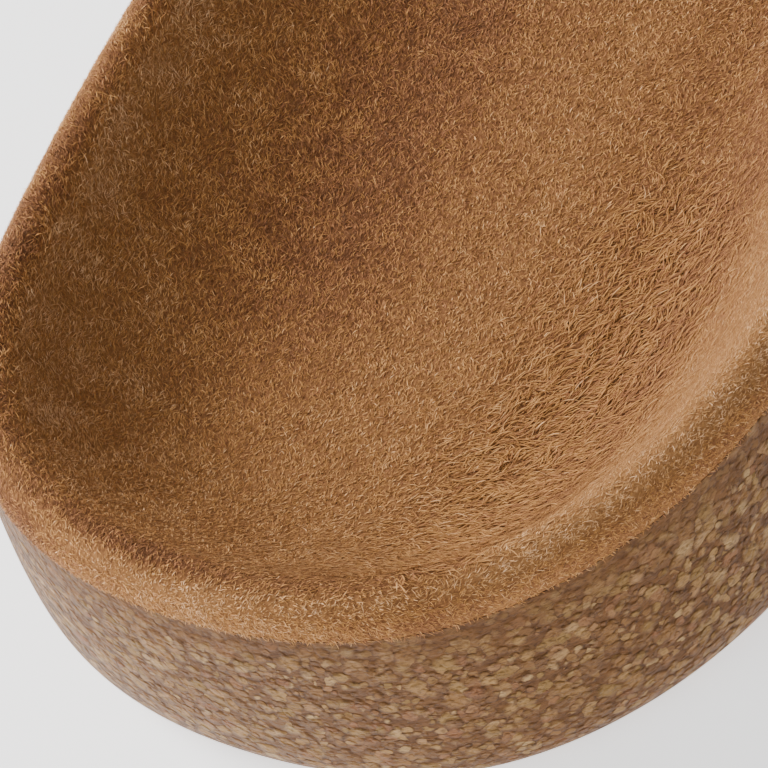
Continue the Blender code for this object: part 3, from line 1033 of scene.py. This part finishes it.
@dataclass
class Upper:
    """Two plain bands of felt, joined at the sides and let into the side of the sole."""

    form: SoleForm
    wall: float = 2.4 * MM
    leg_depth: float = 9 * MM
    rear_edge: BandLine = BandLine(0.385, 0.420, -0.030)
    gap_centre: BandLine = BandLine(0.530, 0.575, -0.010)
    front_edge: BandLine = BandLine(0.680, 0.745, 0.020)
    gap_half_width: float = 9 * MM
    gap_share: float = 0.72
    gap_power: float = 4
    section_power: float = 2.3
    crown_skew: float = 8 * MM
    slot_rise: float = 0.16
    slot_reach: float = 4 * MM
    leg_steps: int = 22
    opening_steps: int = 96
    band_steps: int = 22
    edge_round: float = 0.7 * MM
    edge_degrees: float = 50
    edge_segments: int = 3
    sharp_degrees: float = 60
    weld: float = 0.02 * MM
    recess_steps: int = 11

    def band_line(self, line: BandLine, angle: Floats) -> Floats:
        """Along position of an edge over the foot: straight across, plus a bow by the squared sine.

        Args:
            line: the edge.
            angle: angles over the foot, from the little-toe side.

        Returns:
            Along positions.
        """
        across = (1 - np.cos(angle)) / 2
        share = line.lateral + (line.medial - line.lateral) * across + line.bow * np.sin(angle) ** 2
        return self.form.back + share * self.form.length

    def beside_legs(self, share: Floats, medial: Floats, clearance: float) -> NDArray[np.bool_]:
        """Tells where the legs pass, between straight lines through the ends of the outer edges.

        Args:
            share: shares of the sole's length.
            medial: shares of its width.
            clearance: how much further the answer reaches, as a share of the length.

        Returns:
            Whether each place lies beside a leg.
        """
        rear, front = (
            line.lateral + (line.medial - line.lateral) * medial for line in (self.rear_edge, self.front_edge)
        )
        return (share > rear - clearance) & (share < front + clearance)

    def half_gap(self, angle: Floats) -> Floats:
        """Half the opening between the bands: the root of one less a fourth power, which gives round ends."""
        reach = abs(angle - np.pi / 2) / (self.gap_share * np.pi / 2)
        return self.gap_half_width * np.sqrt(np.clip(1 - reach**self.gap_power, 0, 1))

    def angles(self) -> Floats:
        """Angles over the foot, closer together at both ends of the opening.

        Returns:
            Angles from the little-toe side to the big-toe side.
        """
        reach = self.gap_share * np.pi / 2
        leg = np.linspace(0, np.pi / 2 - reach, self.leg_steps + 1)
        over = np.pi / 2 - reach * np.cos(np.linspace(0, np.pi, self.opening_steps + 1))
        return np.concatenate([leg[:-1], over, np.pi - leg[-2::-1]])

    def section(self, angle: Floats, y: Floats, drop: float) -> Floats:
        """Points of the outer face: a superellipse arch over the foot, skewed to the big toe.

        Args:
            angle: angle over the foot, from the little-toe side.
            y: along position at each angle.
            drop: how much deeper the legs reach.

        Returns:
            Points, with 3 numbers last.
        """
        share = self.form.share(y)
        lateral, medial = self.form.side_x(y)
        across = (1 - np.cos(angle)) / 2
        rim = self.form.column("lateral_rim", share) * (1 - across)
        rim = rim + self.form.column("medial_rim", share) * across
        base = rim - self.leg_depth - drop
        reach = np.abs(np.cos(angle)) ** (2 / self.section_power) * np.sign(np.cos(angle))
        rise = np.abs(np.sin(angle)) ** (2 / self.section_power)
        x = (lateral + medial) / 2 - (medial - lateral) / 2 * reach + self.crown_skew * np.sin(angle) ** 4
        return np.stack([x, y, base + (self.form.column("crown", share) - base) * rise], -1)

    def band(self, angle: Floats, start: Floats, end: Floats, drop: float = 0.0) -> Floats:
        """Rows of sections between two edges, evenly spaced.

        Args:
            angle: angles over the foot.
            start: along position of the first row at each angle.
            end: that of the last row.
            drop: how much deeper the legs reach.

        Returns:
            Rows by angles by 3.
        """
        v = np.linspace(0, 1, self.band_steps + 1)[:, None]
        y = start + (end - start) * v
        return self.section(np.broadcast_to(angle, y.shape), y, drop)

    def recess(self, name: str, angles: Floats) -> bpy.types.Object:
        """Solid of the recess for one leg, clear of it by the seat gap.

        Args:
            name: the solid's name.
            angles: angles that the leg spans.

        Returns:
            The cutter, with its wall applied.
        """
        gap = self.form.seat_gap
        start = self.band_line(self.rear_edge, angles) - gap
        end = self.band_line(self.front_edge, angles) + gap
        mesh = grid_mesh(name, self.band(angles, start, end, gap), closed=False)
        tilt = np.empty(len(mesh.polygons) * 3)
        middle = np.empty(len(mesh.polygons) * 3)
        mesh.polygons.foreach_get("normal", tilt)
        mesh.polygons.foreach_get("center", middle)
        if (tilt[::3] * middle[::3]).sum() < 0:
            mesh.flip_normals()
        cutter = add_piece(name, mesh)
        add_wall(cutter, self.slot_reach, self.wall + gap)
        apply_modifiers(cutter)
        return cutter

    def cut_recesses(self, piece: bpy.types.Object) -> None:
        """Cuts both legs' recesses from a piece of the sole.

        Args:
            piece: the piece.
        """
        rise = np.linspace(0, self.slot_rise * np.pi, self.recess_steps + 1)
        cutters = [self.recess("lateral_cut", rise), self.recess("medial_cut", np.pi - rise)]
        for cutter in cutters:
            step = piece.modifiers.new(cutter.name, "BOOLEAN")
            step.operation = "DIFFERENCE"
            step.object = cutter
        apply_modifiers(piece)
        for cutter in cutters:
            mesh = cutter.data
            bpy.data.objects.remove(cutter)
            bpy.data.meshes.remove(mesh)

    def build(self, finish: FeltFinish) -> bpy.types.Object:
        """Makes the upper: both bands welded at the sides, a wall inwards and rounded edges.

        Args:
            finish: the felt.

        Returns:
            The upper, riding on the frame in place of its solid.
        """
        angle = self.angles()
        centre, half = self.band_line(self.gap_centre, angle), self.half_gap(angle)
        rear = self.band(angle, self.band_line(self.rear_edge, angle), centre - half)
        front = self.band(angle, centre + half, self.band_line(self.front_edge, angle))
        sheets = [grid_mesh("rear", rear, closed=False), grid_mesh("front", front, closed=False)]
        shape = bmesh.new()
        for sheet in sheets:
            face_up(sheet)
            shape.from_mesh(sheet)
            bpy.data.meshes.remove(sheet)
        bmesh.ops.remove_doubles(shape, verts=shape.verts, dist=self.weld)
        mesh = bpy.data.meshes.new("felt_upper")
        shape.to_mesh(mesh)
        shape.free()
        piece = add_piece("felt_upper", mesh)
        add_wall(piece, 0, self.wall)
        edge = piece.modifiers.new("edge", "BEVEL")
        edge.width = self.edge_round
        edge.segments = self.edge_segments
        edge.limit_method = "ANGLE"
        edge.angle_limit = math.radians(self.edge_degrees)
        apply_modifiers(piece)
        shade(piece.data, self.sharp_degrees)
        piece.data.materials.clear()
        piece.data.materials.append(finish.material())
        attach(piece, BODY)
        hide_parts("upper")
        return piece


@dataclass
class CorkSole:
    """Moulded cork sole with a rounded side, a ledge under the liner's lip and a dished seat."""

    form: SoleForm
    upper: Upper
    side_stations: int = 240
    wall_steps: int = 40
    seat_steps: int = 10
    floor_steps: int = 8
    sharp_degrees: float = 40

    def build(self, finish: CorkFinish) -> bpy.types.Object:
        """Makes the sole: underside, side, ledge and seat in one closed loft, with the legs' recesses cut.

        The side is a cubic through the wall table, its height share times the height from underside to ledge.

        Args:
            finish: the cork.

        Returns:
            The sole, riding on the frame in place of its solid.
        """
        form = self.form
        ring = form.ring(self.side_stations)
        under = form.column("underside", ring.share)
        ledge = form.blend("rim", ring) - form.lip_drop - form.seat_gap
        knots = np.arange(len(WALL))
        at = np.linspace(0, len(WALL) - 1, self.wall_steps + 1)
        height = cubic_rows(knots, [row.height for row in WALL], at)[:, None]
        inset = cubic_rows(knots, [row.inset * MM for row in WALL], at)[:, None] + 0 * under
        side = form.lay(ring, inset, under + (ledge - under) * height)
        depth = form.liner_wall + form.seat_gap
        insets, heights = form.rim_profile(ring, self.seat_steps, self.seat_steps, depth)
        heights[0] = ledge
        seat = form.lay(ring, insets, heights)
        top = form.floor_rows(ring, seat[-1], self.floor_steps, depth)
        u = np.linspace(1, 0, self.floor_steps + 1)[:-1, None, None]
        plan = side[0][None, :, :2] + (ring.spine - side[0][:, :2])[None] * u
        lowest = form.column("underside", form.share(plan[..., 1]))
        bottom = np.concatenate([plan, lowest[..., None]], -1)
        mesh = grid_mesh("cork_body", np.concatenate([bottom, side, seat, top]), closed=True)
        piece = add_piece("cork_body", mesh)
        self.upper.cut_recesses(piece)
        self.mark_depth(piece.data)
        shade(piece.data, self.sharp_degrees)
        piece.data.materials.clear()
        piece.data.materials.append(finish.material())
        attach(piece, BODY)
        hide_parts("cork_sole")
        return piece

    def mark_depth(self, mesh: bpy.types.Mesh) -> None:
        """Stores each point's depth below the ledge as the attribute rim_depth, in metres."""
        x, y, z = point_array(mesh).T
        mark(mesh, "rim_depth", self.form.rim_height(x, y) - self.form.lip_drop - z)


@dataclass
class FootbedLiner:
    """Microfibre sheet that lines the dish of the footbed and rolls over its rim."""

    form: SoleForm
    upper: Upper
    side_stations: int = 170
    arc_steps: int = 8
    slope_steps: int = 26
    floor_steps: int = 12
    lip_hang: float = 0.2 * MM
    back_arc_steps: int = 4
    back_slope_steps: int = 9
    back_floor_steps: int = 5
    sharp_degrees: float = 50
    # Share of the rim shoulder's painted light and shade that the ground takes.
    roll_share: float = 0.3

    def face(self) -> Floats:
        """Points of the liner's face, from the lip over the rim to the spine, as rows by points by 3."""
        return self.rows(self.arc_steps, self.slope_steps, self.floor_steps, 0.0)

    def rows(self, arc_steps: int, slope_steps: int, floor_steps: int, depth: float) -> Floats:
        """Points of a surface that lies a depth below the liner's face.

        Args:
            arc_steps: steps over the rim.
            slope_steps: steps down to the floor.
            floor_steps: steps from there to the spine.
            depth: the depth, square to the face.

        Returns:
            Rows by points by 3, from the lip to the spine.
        """
        ring = self.form.ring(self.side_stations)
        insets, heights = self.form.rim_profile(ring, arc_steps, slope_steps, depth)
        heights[0] -= self.lip_hang
        slope = self.form.lay(ring, insets, heights)
        return np.concatenate([slope, self.form.floor_rows(ring, slope[-1], floor_steps, depth)])

    def build(self, finish: LinerFinish) -> bpy.types.Object:
        """Makes the liner: its face and, a wall below it, its back, lofted as one and cut for the legs.

        Args:
            finish: the ground of the microfibre.

        Returns:
            The liner, riding on the frame in place of its solid.
        """
        back = self.rows(
            self.back_arc_steps, self.back_slope_steps, self.back_floor_steps, self.form.liner_wall
        )
        mesh = grid_mesh("microfibre_liner", np.concatenate([back[::-1], self.face()]), closed=True)
        piece = add_piece("microfibre_liner", mesh)
        self.upper.cut_recesses(piece)
        # Painted light and shade of the nap, which the ground's colour follows.
        self.mark_painted_shading(piece.data)
        shade(piece.data, self.sharp_degrees)
        piece.data.materials.clear()
        piece.data.materials.append(finish.material())
        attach(piece, BODY)
        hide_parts("footbed_liner")
        return piece

    def mark_painted_shading(self, mesh: bpy.types.Mesh) -> None:
        """Stores the nap's painted light and shade at each point as an attribute.

        Args:
            mesh: the liner's mesh.
        """
        normals = np.empty(len(mesh.vertices) * 3)
        mesh.vertex_normals.foreach_get("vector", normals)
        shades = self.form.nap_painted_shading(point_array(mesh), normals.reshape(-1, 3), self.roll_share)
        mark(mesh, "nap_painted_shading", shades)


class NapZone(Enum):
    """Part of the footbed that a patch of nap covers."""

    HEEL = "heel"
    FOREFOOT = "forefoot"
    LIP = "lip"
    COMBED = "combed"
    FAR_WALL = "far_wall"


@dataclass(frozen=True)
class ZoneSizes:
    """Bounds of the zones.

    Along is from the heel's back, across is from -1 to 1, but in metres for the heel and the fringe, and the
    legs' clearance is a share of the length.
    """

    heel_end: float = 63 * MM
    heel_slant: float = 0.25
    heel_turn: float = 40 * MM
    heel_fade: float = 15 * MM
    leg_rows: int = 2
    leg_clearance: float = 0.008
    fringe_across: Span = (5 * MM, 22 * MM)
    fringe_share: Span = (1.0, 0.5)
    combed_across: float = 0.42
    combed_reach: float = 0.17
    combed_start: float = 12 * MM
    combed_rise: float = 6 * MM
    combed_end: float = 38 * MM
    combed_fade: float = 24 * MM
    far_start: float = -0.2
    far_fade: float = 0.3


@dataclass
class NapPatch:
    """Fibres that lie on the liner's face and lean the way the cloth was brushed."""

    form: SoleForm
    liner: FootbedLiner
    name: str
    zone: NapZone
    count: int
    seed: int
    table: tuple[NapRow, ...] = NAP
    joints: int = 1
    scale: float = 1.0
    fall: float = 0.6
    roundness: float = 0.0
    lightness: float = 0.0
    # Share of the rim shoulder's painted light and shade in these fibres.
    roll_share: float = 0.4
    roll_trim: float = 0.2
    tone_spread: float = 0.10
    lift: float = 0.0
    root_depth: float = 0.03 * MM
    parting: float = 0.0
    spread_degrees: float = 24
    swirl_degrees: float = 14
    swirl: float = 5 * MM
    swirl_seeds: int = 10
    tilt: float = 0.36
    curl: float = 0.3
    fringe_hang: float = 0.7
    lean_range: Span = (0.5, 1.6)
    length_range: Span = (0.6, 1.5)
    width_range: Span = (0.7, 1.4)
    clump: float = 0.8 * MM
    clump_stretch: float = 3
    clump_tone: float = 0.035
    clump_seed: int = 3
    mottle: float = 6 * MM
    mottle_across: Span = (-0.6, -0.1)
    mottle_tone: Span = (0.05, 0.012)
    mottle_seed: int = 2
    map_range: Span = (0.02, 0.98)
    map_width: float = 0.004
    sizes: ZoneSizes = ZoneSizes()

    def weights(self, middle: Floats) -> Floats:
        """Share of fibres per area that each face of the grid gets: its zone's, and none where a leg passes.

        Args:
            middle: the faces' middles, rows by points by 3.

        Returns:
            Rows by points.
        """
        form, sizes = self.form, self.sizes
        x, y = middle[..., 0], middle[..., 1]
        along, across = y - form.back, form.across(x, y)
        row = np.arange(len(middle))[:, None]
        past = along - sizes.heel_end - sizes.heel_slant * (x + sizes.heel_turn)
        heel = smooth_fall(past / sizes.heel_fade)
        legs = self.liner.upper.beside_legs(form.share(y), form.medial_share(x, y), sizes.leg_clearance)
        clear = ~((row <= self.liner.arc_steps + sizes.leg_rows) & legs)
        if self.zone is NapZone.FOREFOOT:
            return clear * (1 - heel)
        if self.zone is NapZone.LIP:
            lip = row < self.liner.arc_steps // 2
            return lip * clear * heel * np.interp(x, sizes.fringe_across, sizes.fringe_share)
        band = np.exp(-(((across - sizes.combed_across) / sizes.combed_reach) ** 2))
        band *= smooth_fall((sizes.combed_start - along) / sizes.combed_rise)
        band *= smooth_fall((along - sizes.combed_end) / sizes.combed_fade)
        if self.zone is NapZone.COMBED:
            return (row > self.liner.arc_steps) * heel * band
        if self.zone is NapZone.FAR_WALL:
            return heel * np.clip((sizes.far_start - across) / sizes.far_fade, 0, 1)
        return clear * heel * (1 - self.parting * band)

    def roots(self, draw: np.random.Generator) -> tuple[Floats, Floats]:
        """Random points on the liner's face, evenly spread over its area, with the face's normal there.

        A face of the grid is drawn by its area, and a point in it by two even random numbers.

        Args:
            draw: the random numbers.

        Returns:
            Points and unit normals.
        """
        grid = self.liner.face()
        rows = np.concatenate([grid, grid[:, :1]], 1)
        a, b, c, d = rows[:-1, :-1], rows[:-1, 1:], rows[1:, 1:], rows[1:, :-1]
        cross = np.cross(c - a, d - b)
        weight = np.linalg.norm(cross, axis=-1) * self.weights((a + b + c + d) / 4)
        total = np.cumsum(weight.ravel())
        pick = np.searchsorted(total, draw.uniform(0, total[-1], self.count))
        pick = np.minimum(pick, weight.size - 1)
        u, v = draw.uniform(size=(2, self.count, 1))
        corners = [corner.reshape(-1, 3)[pick] for corner in (a, b, c, d)]
        first = corners[0] * (1 - u) + corners[1] * u
        point = first * (1 - v) + (corners[3] * (1 - u) + corners[2] * u) * v
        normal = cross.reshape(-1, 3)[pick]
        normal /= np.linalg.norm(normal, axis=1)[:, None]
        return point, normal

    def column(self, name: str, root: Floats) -> Floats:
        """A column of the patch's table, read across the sole at the roots."""
        values = [getattr(row, name) for row in self.table]
        return np.interp(self.form.across(root[:, 0], root[:, 1]), [row.across for row in self.table], values)

    def flow(self, root: Floats) -> Floats:
        """Degrees that the nap lies at: the rear angle at the heel, turning to the front angle ahead."""
        rear, front = self.column("rear_angle", root), self.column("front_angle", root)
        return rear + (front - rear) * self.form.forward(root[:, 1])

    def directions(self, draw: np.random.Generator, root: Floats, normal: Floats) -> tuple[Floats, Floats]:
        """Directions of the fibres on the face: the flow, spread at random and swirled by a smooth field.

        Args:
            draw: the random numbers.
            root: the fibres' roots.
            normal: the face's unit normals there.

        Returns:
            Unit vectors along the fibres, and square to them on the face.
        """
        angle = self.flow(root) + self.spread_degrees * draw.normal(size=self.count)
        field_seed = self.seed % self.swirl_seeds
        swirls = soft_noise(root[:, 0], root[:, 1], self.swirl, field_seed)
        angle = np.radians(angle + self.swirl_degrees * swirls)
        plan = np.stack([np.cos(angle), np.sin(angle), np.zeros(self.count)], 1)
        if self.zone is NapZone.LIP:
            plan = plan - np.array([0, 0, self.fringe_hang])
        ahead = plan - normal * (plan * normal).sum(1)[:, None]
        ahead /= np.linalg.norm(ahead, axis=1)[:, None]
        return ahead, np.cross(normal, ahead)

    def ribbons(
        self, draw: np.random.Generator, root: Floats, normal: Floats, ahead: Floats, aside: Floats
    ) -> Floats:
        """Points of the fibres, each a narrow ribbon that rises from its root and bends over.

        At t from 0 at the root to 1 at the tip, a fibre has gone length * t along its direction,
        bend * length * t^2 aside and length * sin(lean) * t * (1 - fall * t) off the face.

        Args:
            draw: the random numbers.
            root: the fibres' roots.
            normal: the face's unit normals there.
            ahead: unit vectors along the fibres.
            aside: unit vectors square to them.

        Returns:
            Fibres by points by 3: the root, the right edge, the left edge and the tip.
        """
        count = self.count
        lean = np.radians(self.column("lean", root) * draw.uniform(*self.lean_range, count))[:, None]
        trim = 1 - self.roll_trim * np.clip(self.form.leaning(root, normal), 0, 1)
        length = self.column("length", root) * MM * draw.uniform(*self.length_range, count) * self.scale
        length = (length * trim)[:, None]
        width = self.column("width", root) * MM * draw.uniform(*self.width_range, count) * self.scale
        bend = draw.normal(0, self.curl, (count, 1))
        rows = []
        for t in np.linspace(0, 1, self.joints + 2):
            rise = length * np.sin(lean) * t * (1 - self.fall * t) + (self.lift if t else -self.root_depth)
            rows.append(root + ahead * length * t + aside * bend * length * t**2 + normal * rise)
        path = np.stack(rows, 1)
        half = (aside * width[:, None] / 2)[:, None]
        return np.concatenate([path[:, :1], path[:, 1:-1] - half, path[:, 1:-1] + half, path[:, -1:]], 1)

    def corners(self) -> NDArray[np.int64]:
        """Triangles of the fibres: one at the root, one at the tip and two for each step between joints.

        Returns:
            Point numbers, triangles by 3.
        """
        right = 1 + np.arange(self.joints)
        left = right + self.joints
        faces = [(0, right[0], left[0]), (right[-1], 2 * self.joints + 1, left[-1])]
        for r0, r1, l0, l1 in zip(right[:-1], right[1:], left[:-1], left[1:]):
            faces += [(r0, r1, l1), (r0, l1, l0)]
        size = 2 * self.joints + 2
        return (size * np.arange(self.count)[:, None, None] + np.array(faces)[None]).reshape(-1, 3)

    def sides(self) -> Floats:
        """-1 on a ribbon's right edge, 1 on its left edge and 0 at its root and tip, in its points' order."""
        edge = np.ones(self.joints)
        return np.concatenate([[0], -edge, edge, [0]])

    def shading(self, draw: np.random.Generator, normal: Floats, ahead: Floats, aside: Floats) -> Floats:
        """Shading normals: the face's, tilted at random and, for a round strand, outwards at both edges.

        Args:
            draw: the random numbers.
            normal: the face's unit normals at the roots.
            ahead: unit vectors along the fibres.
            aside: unit vectors square to them.

        Returns:
            Fibres by points by 3.
        """
        size = (self.count, 1)
        tilted = normal + self.tilt * (ahead * draw.normal(size=size) + aside * draw.normal(size=size))
        shaded = tilted[:, None] + self.roundness * self.sides()[None, :, None] * aside[:, None]
        return shaded / np.linalg.norm(shaded, axis=-1)[..., None]

    def tones(self, draw: np.random.Generator, root: Floats, normal: Floats) -> Floats:
        """Shade of each fibre: the nap's painted light and shade, spread at random, mottled, and in clumps
        drawn out along the flow.

        Args:
            draw: the random numbers.
            root: the fibres' roots.
            normal: the face's unit normals there.

        Returns:
            Shades within the map's range.
        """
        x, y = root[:, 0], root[:, 1]
        # Each fibre's tone carries the nap's painted light and shade.
        tone = self.lightness + self.form.nap_painted_shading(root, normal, self.roll_share)
        tone += self.tone_spread * draw.normal(size=self.count)
        mottling = np.interp(self.form.across(x, y), self.mottle_across, self.mottle_tone)
        tone += mottling * soft_noise(x, y, self.mottle, self.mottle_seed)
        lane = np.radians(self.flow(root))
        run, pitch = np.cos(lane) * x + np.sin(lane) * y, -np.sin(lane) * x + np.cos(lane) * y
        clumps = soft_noise(run / self.clump_stretch, pitch, self.clump, self.clump_seed)
        return np.clip(tone + self.clump_tone * clumps, *self.map_range)

    def build(self, finish: FibreFinish) -> bpy.types.Object:
        """Makes the fibres as one mesh, with a map that holds each one's shade and the way from root to tip.

        Args:
            finish: the fibres' finish.

        Returns:
            The patch, riding on the frame.
        """
        draw = np.random.default_rng(self.seed)
        root, normal = self.roots(draw)
        ahead, aside = self.directions(draw, root, normal)
        points = self.ribbons(draw, root, normal, ahead, aside)
        normals = self.shading(draw, normal, ahead, aside)
        shades = self.tones(draw, root, normal)[:, None] + self.sides() * self.map_width / 2
        corners = self.corners()
        mesh = bpy.data.meshes.new(self.name)
        mesh.from_pydata(points.reshape(-1, 3), [], corners)
        way = np.linspace(*self.map_range, self.joints + 2)
        way = np.concatenate([way[:-1], way[1:]])
        place = np.stack(np.broadcast_arrays(shades, way), -1)
        layer = mesh.uv_layers.new(name=BAKE_MAP)
        layer.uv.foreach_set("vector", place.reshape(-1, 2)[corners.ravel()].astype(np.float32).ravel())
        mesh.shade_smooth()
        mesh.normals_split_custom_set_from_vertices(normals.reshape(-1, 3).tolist())
        piece = add_piece(self.name, mesh)
        mesh.materials.append(finish.material())
        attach(piece, BODY)
        return piece


class Lamp(NamedTuple):
    """A square soft light: where it hangs from the point it faces and its width, in metres, and its watts."""

    name: str
    place: tuple[float, float, float]
    size: float
    watts: float


@dataclass
class Studio:
    """Pale floor, soft light from the little-toe side and the camera at the photograph's angle."""

    form: SoleForm
    azimuth: float = 48.3
    elevation: float = 47.07
    roll: float = 23.98
    distance: float = 716 * MM
    frame_width: float = 60.95 * MM
    target_across: float = 1.13 * MM
    target_from_heel: float = 29.27 * MM
    target_height: float = 15 * MM
    sensor: float = 36.0
    nearest: float = 10 * MM
    floor_size: float = 6.0
    floor_steps: int = 8
    sky: float = 0.4
    aim_from_heel: float = 60 * MM
    aim_height: float = 15 * MM
    lamps: tuple[Lamp, ...] = (
        Lamp("key", (-1.45, -0.05, 0.80), 0.8, 61.0),
        Lamp("fill", (-0.5, -1.35, 0.9), 1.0, 10.0),
    )

    def camera(self) -> None:
        """Places the camera on its line of sight, turned by the roll about it."""
        a, e, r = (math.radians(v) for v in (self.azimuth, self.elevation, self.roll))
        back = Vector((math.sin(a) * math.cos(e), -math.cos(a) * math.cos(e), math.sin(e)))
        level = Vector((math.cos(a), math.sin(a), 0))
        rise = back.cross(level)
        right = math.cos(r) * level - math.sin(r) * rise
        up = math.sin(r) * level + math.cos(r) * rise
        target = Vector((self.target_across, self.form.back + self.target_from_heel, self.target_height))
        lens = bpy.data.cameras.new("camera")
        lens.sensor_width = self.sensor
        lens.lens = self.sensor * self.distance / self.frame_width
        lens.clip_start = self.nearest
        camera = bpy.data.objects.new("camera", lens)
        camera.matrix_world = Matrix.Translation(target + back * self.distance) @ Matrix(
            (right, up, back)
        ).transposed().to_4x4()
        bpy.context.scene.collection.objects.link(camera)
        bpy.context.scene.camera = camera

    def hang(self, lamp: Lamp) -> None:
        """Hangs a soft light that faces the heel.

        Args:
            lamp: the light.
        """
        light = bpy.data.lights.new(lamp.name, "AREA")
        light.size = lamp.size
        light.energy = lamp.watts
        hung = bpy.data.objects.new(lamp.name, light)
        aim = Vector((0, self.form.back + self.aim_from_heel, self.aim_height))
        hung.location = aim + Vector(lamp.place)
        hung.rotation_euler = Vector(lamp.place).to_track_quat("Z", "Y").to_euler()
        bpy.context.scene.collection.objects.link(hung)

    def build(self, finish: FloorFinish) -> None:
        """Lays the floor, hangs the lights and sets the camera.

        Args:
            finish: the floor's paint.
        """
        edge = np.linspace(-self.floor_size / 2, self.floor_size / 2, self.floor_steps + 1)
        x, y = np.meshgrid(edge, edge)
        floor = add_piece("floor", grid_mesh("floor", np.stack([x, y, 0 * x], -1), closed=False))
        face_up(floor.data)
        floor.data.materials.append(finish.material())
        world = bpy.data.worlds.new("studio")
        world.use_nodes = True
        sky = {"Color": (1, 1, 1, 1), "Strength": self.sky}
        feed(world.node_tree, world.node_tree.nodes["Background"], sky)
        bpy.context.scene.world = world
        for lamp in self.lamps:
            self.hang(lamp)
        self.camera()


def main() -> None:
    """Builds the sandal's pieces in order and reports each one."""
    logging.basicConfig(level=logging.INFO, format="%(message)s")
    form = SoleForm()
    upper = Upper(form)
    liner = FootbedLiner(form, upper)
    fibre = FibreFinish()
    report(CorkSole(form, upper).build(CorkFinish()))
    report(liner.build(LinerFinish()))
    report(upper.build(FeltFinish()))
    curls = {"table": CURLS, "joints": 2, "curl": 0.6}
    heel_curls = {**curls, "lightness": 0.05, "roll_share": 0.8, "roll_trim": 0.35, "tone_spread": 0.13}
    fringe = {**curls, "lightness": 0.02, "roll_share": 0.6, "roll_trim": 0.0, "tone_spread": 0.18}
    strands = {"table": STRANDS, "joints": 3, "fall": 1.0, "roundness": 0.8, "lightness": 0.08}
    combed = {**strands, "swirl_degrees": 18, "swirl": 3.5 * MM, "curl": 0.4, "tilt": 0.15, "lift": 0.03 * MM}
    stray = {"table": STRANDS, "joints": 2, "fall": 0.7, "roundness": 0.4, "lightness": 0.12}
    patches = (
        NapPatch(form, liner, "heel_nap", NapZone.HEEL, 99000, 11, parting=0.4),
        NapPatch(form, liner, "heel_curls_low", NapZone.HEEL, 49500, 21, parting=0.45, **heel_curls),
        NapPatch(form, liner, "heel_curls_top", NapZone.HEEL, 49500, 31, parting=0.65, **heel_curls),
        # The forefoot's fibres are twice as large, so that few enough of them cover its area.
        NapPatch(form, liner, "forefoot_nap", NapZone.FOREFOOT, 50000, 41, scale=2.0),
        NapPatch(form, liner, "lip_fringe", NapZone.LIP, 13000, 71, spread_degrees=70, **fringe),
        NapPatch(form, liner, "combed_strands", NapZone.COMBED, 9500, 51, spread_degrees=11, **combed),
        NapPatch(form, liner, "stray_fibres", NapZone.FAR_WALL, 5000, 61, spread_degrees=40, **stray),
    )
    for patch in patches:
        report(patch.build(fibre))
    Studio(form).build(FloorFinish())


if __name__ == "__main__":
    main()
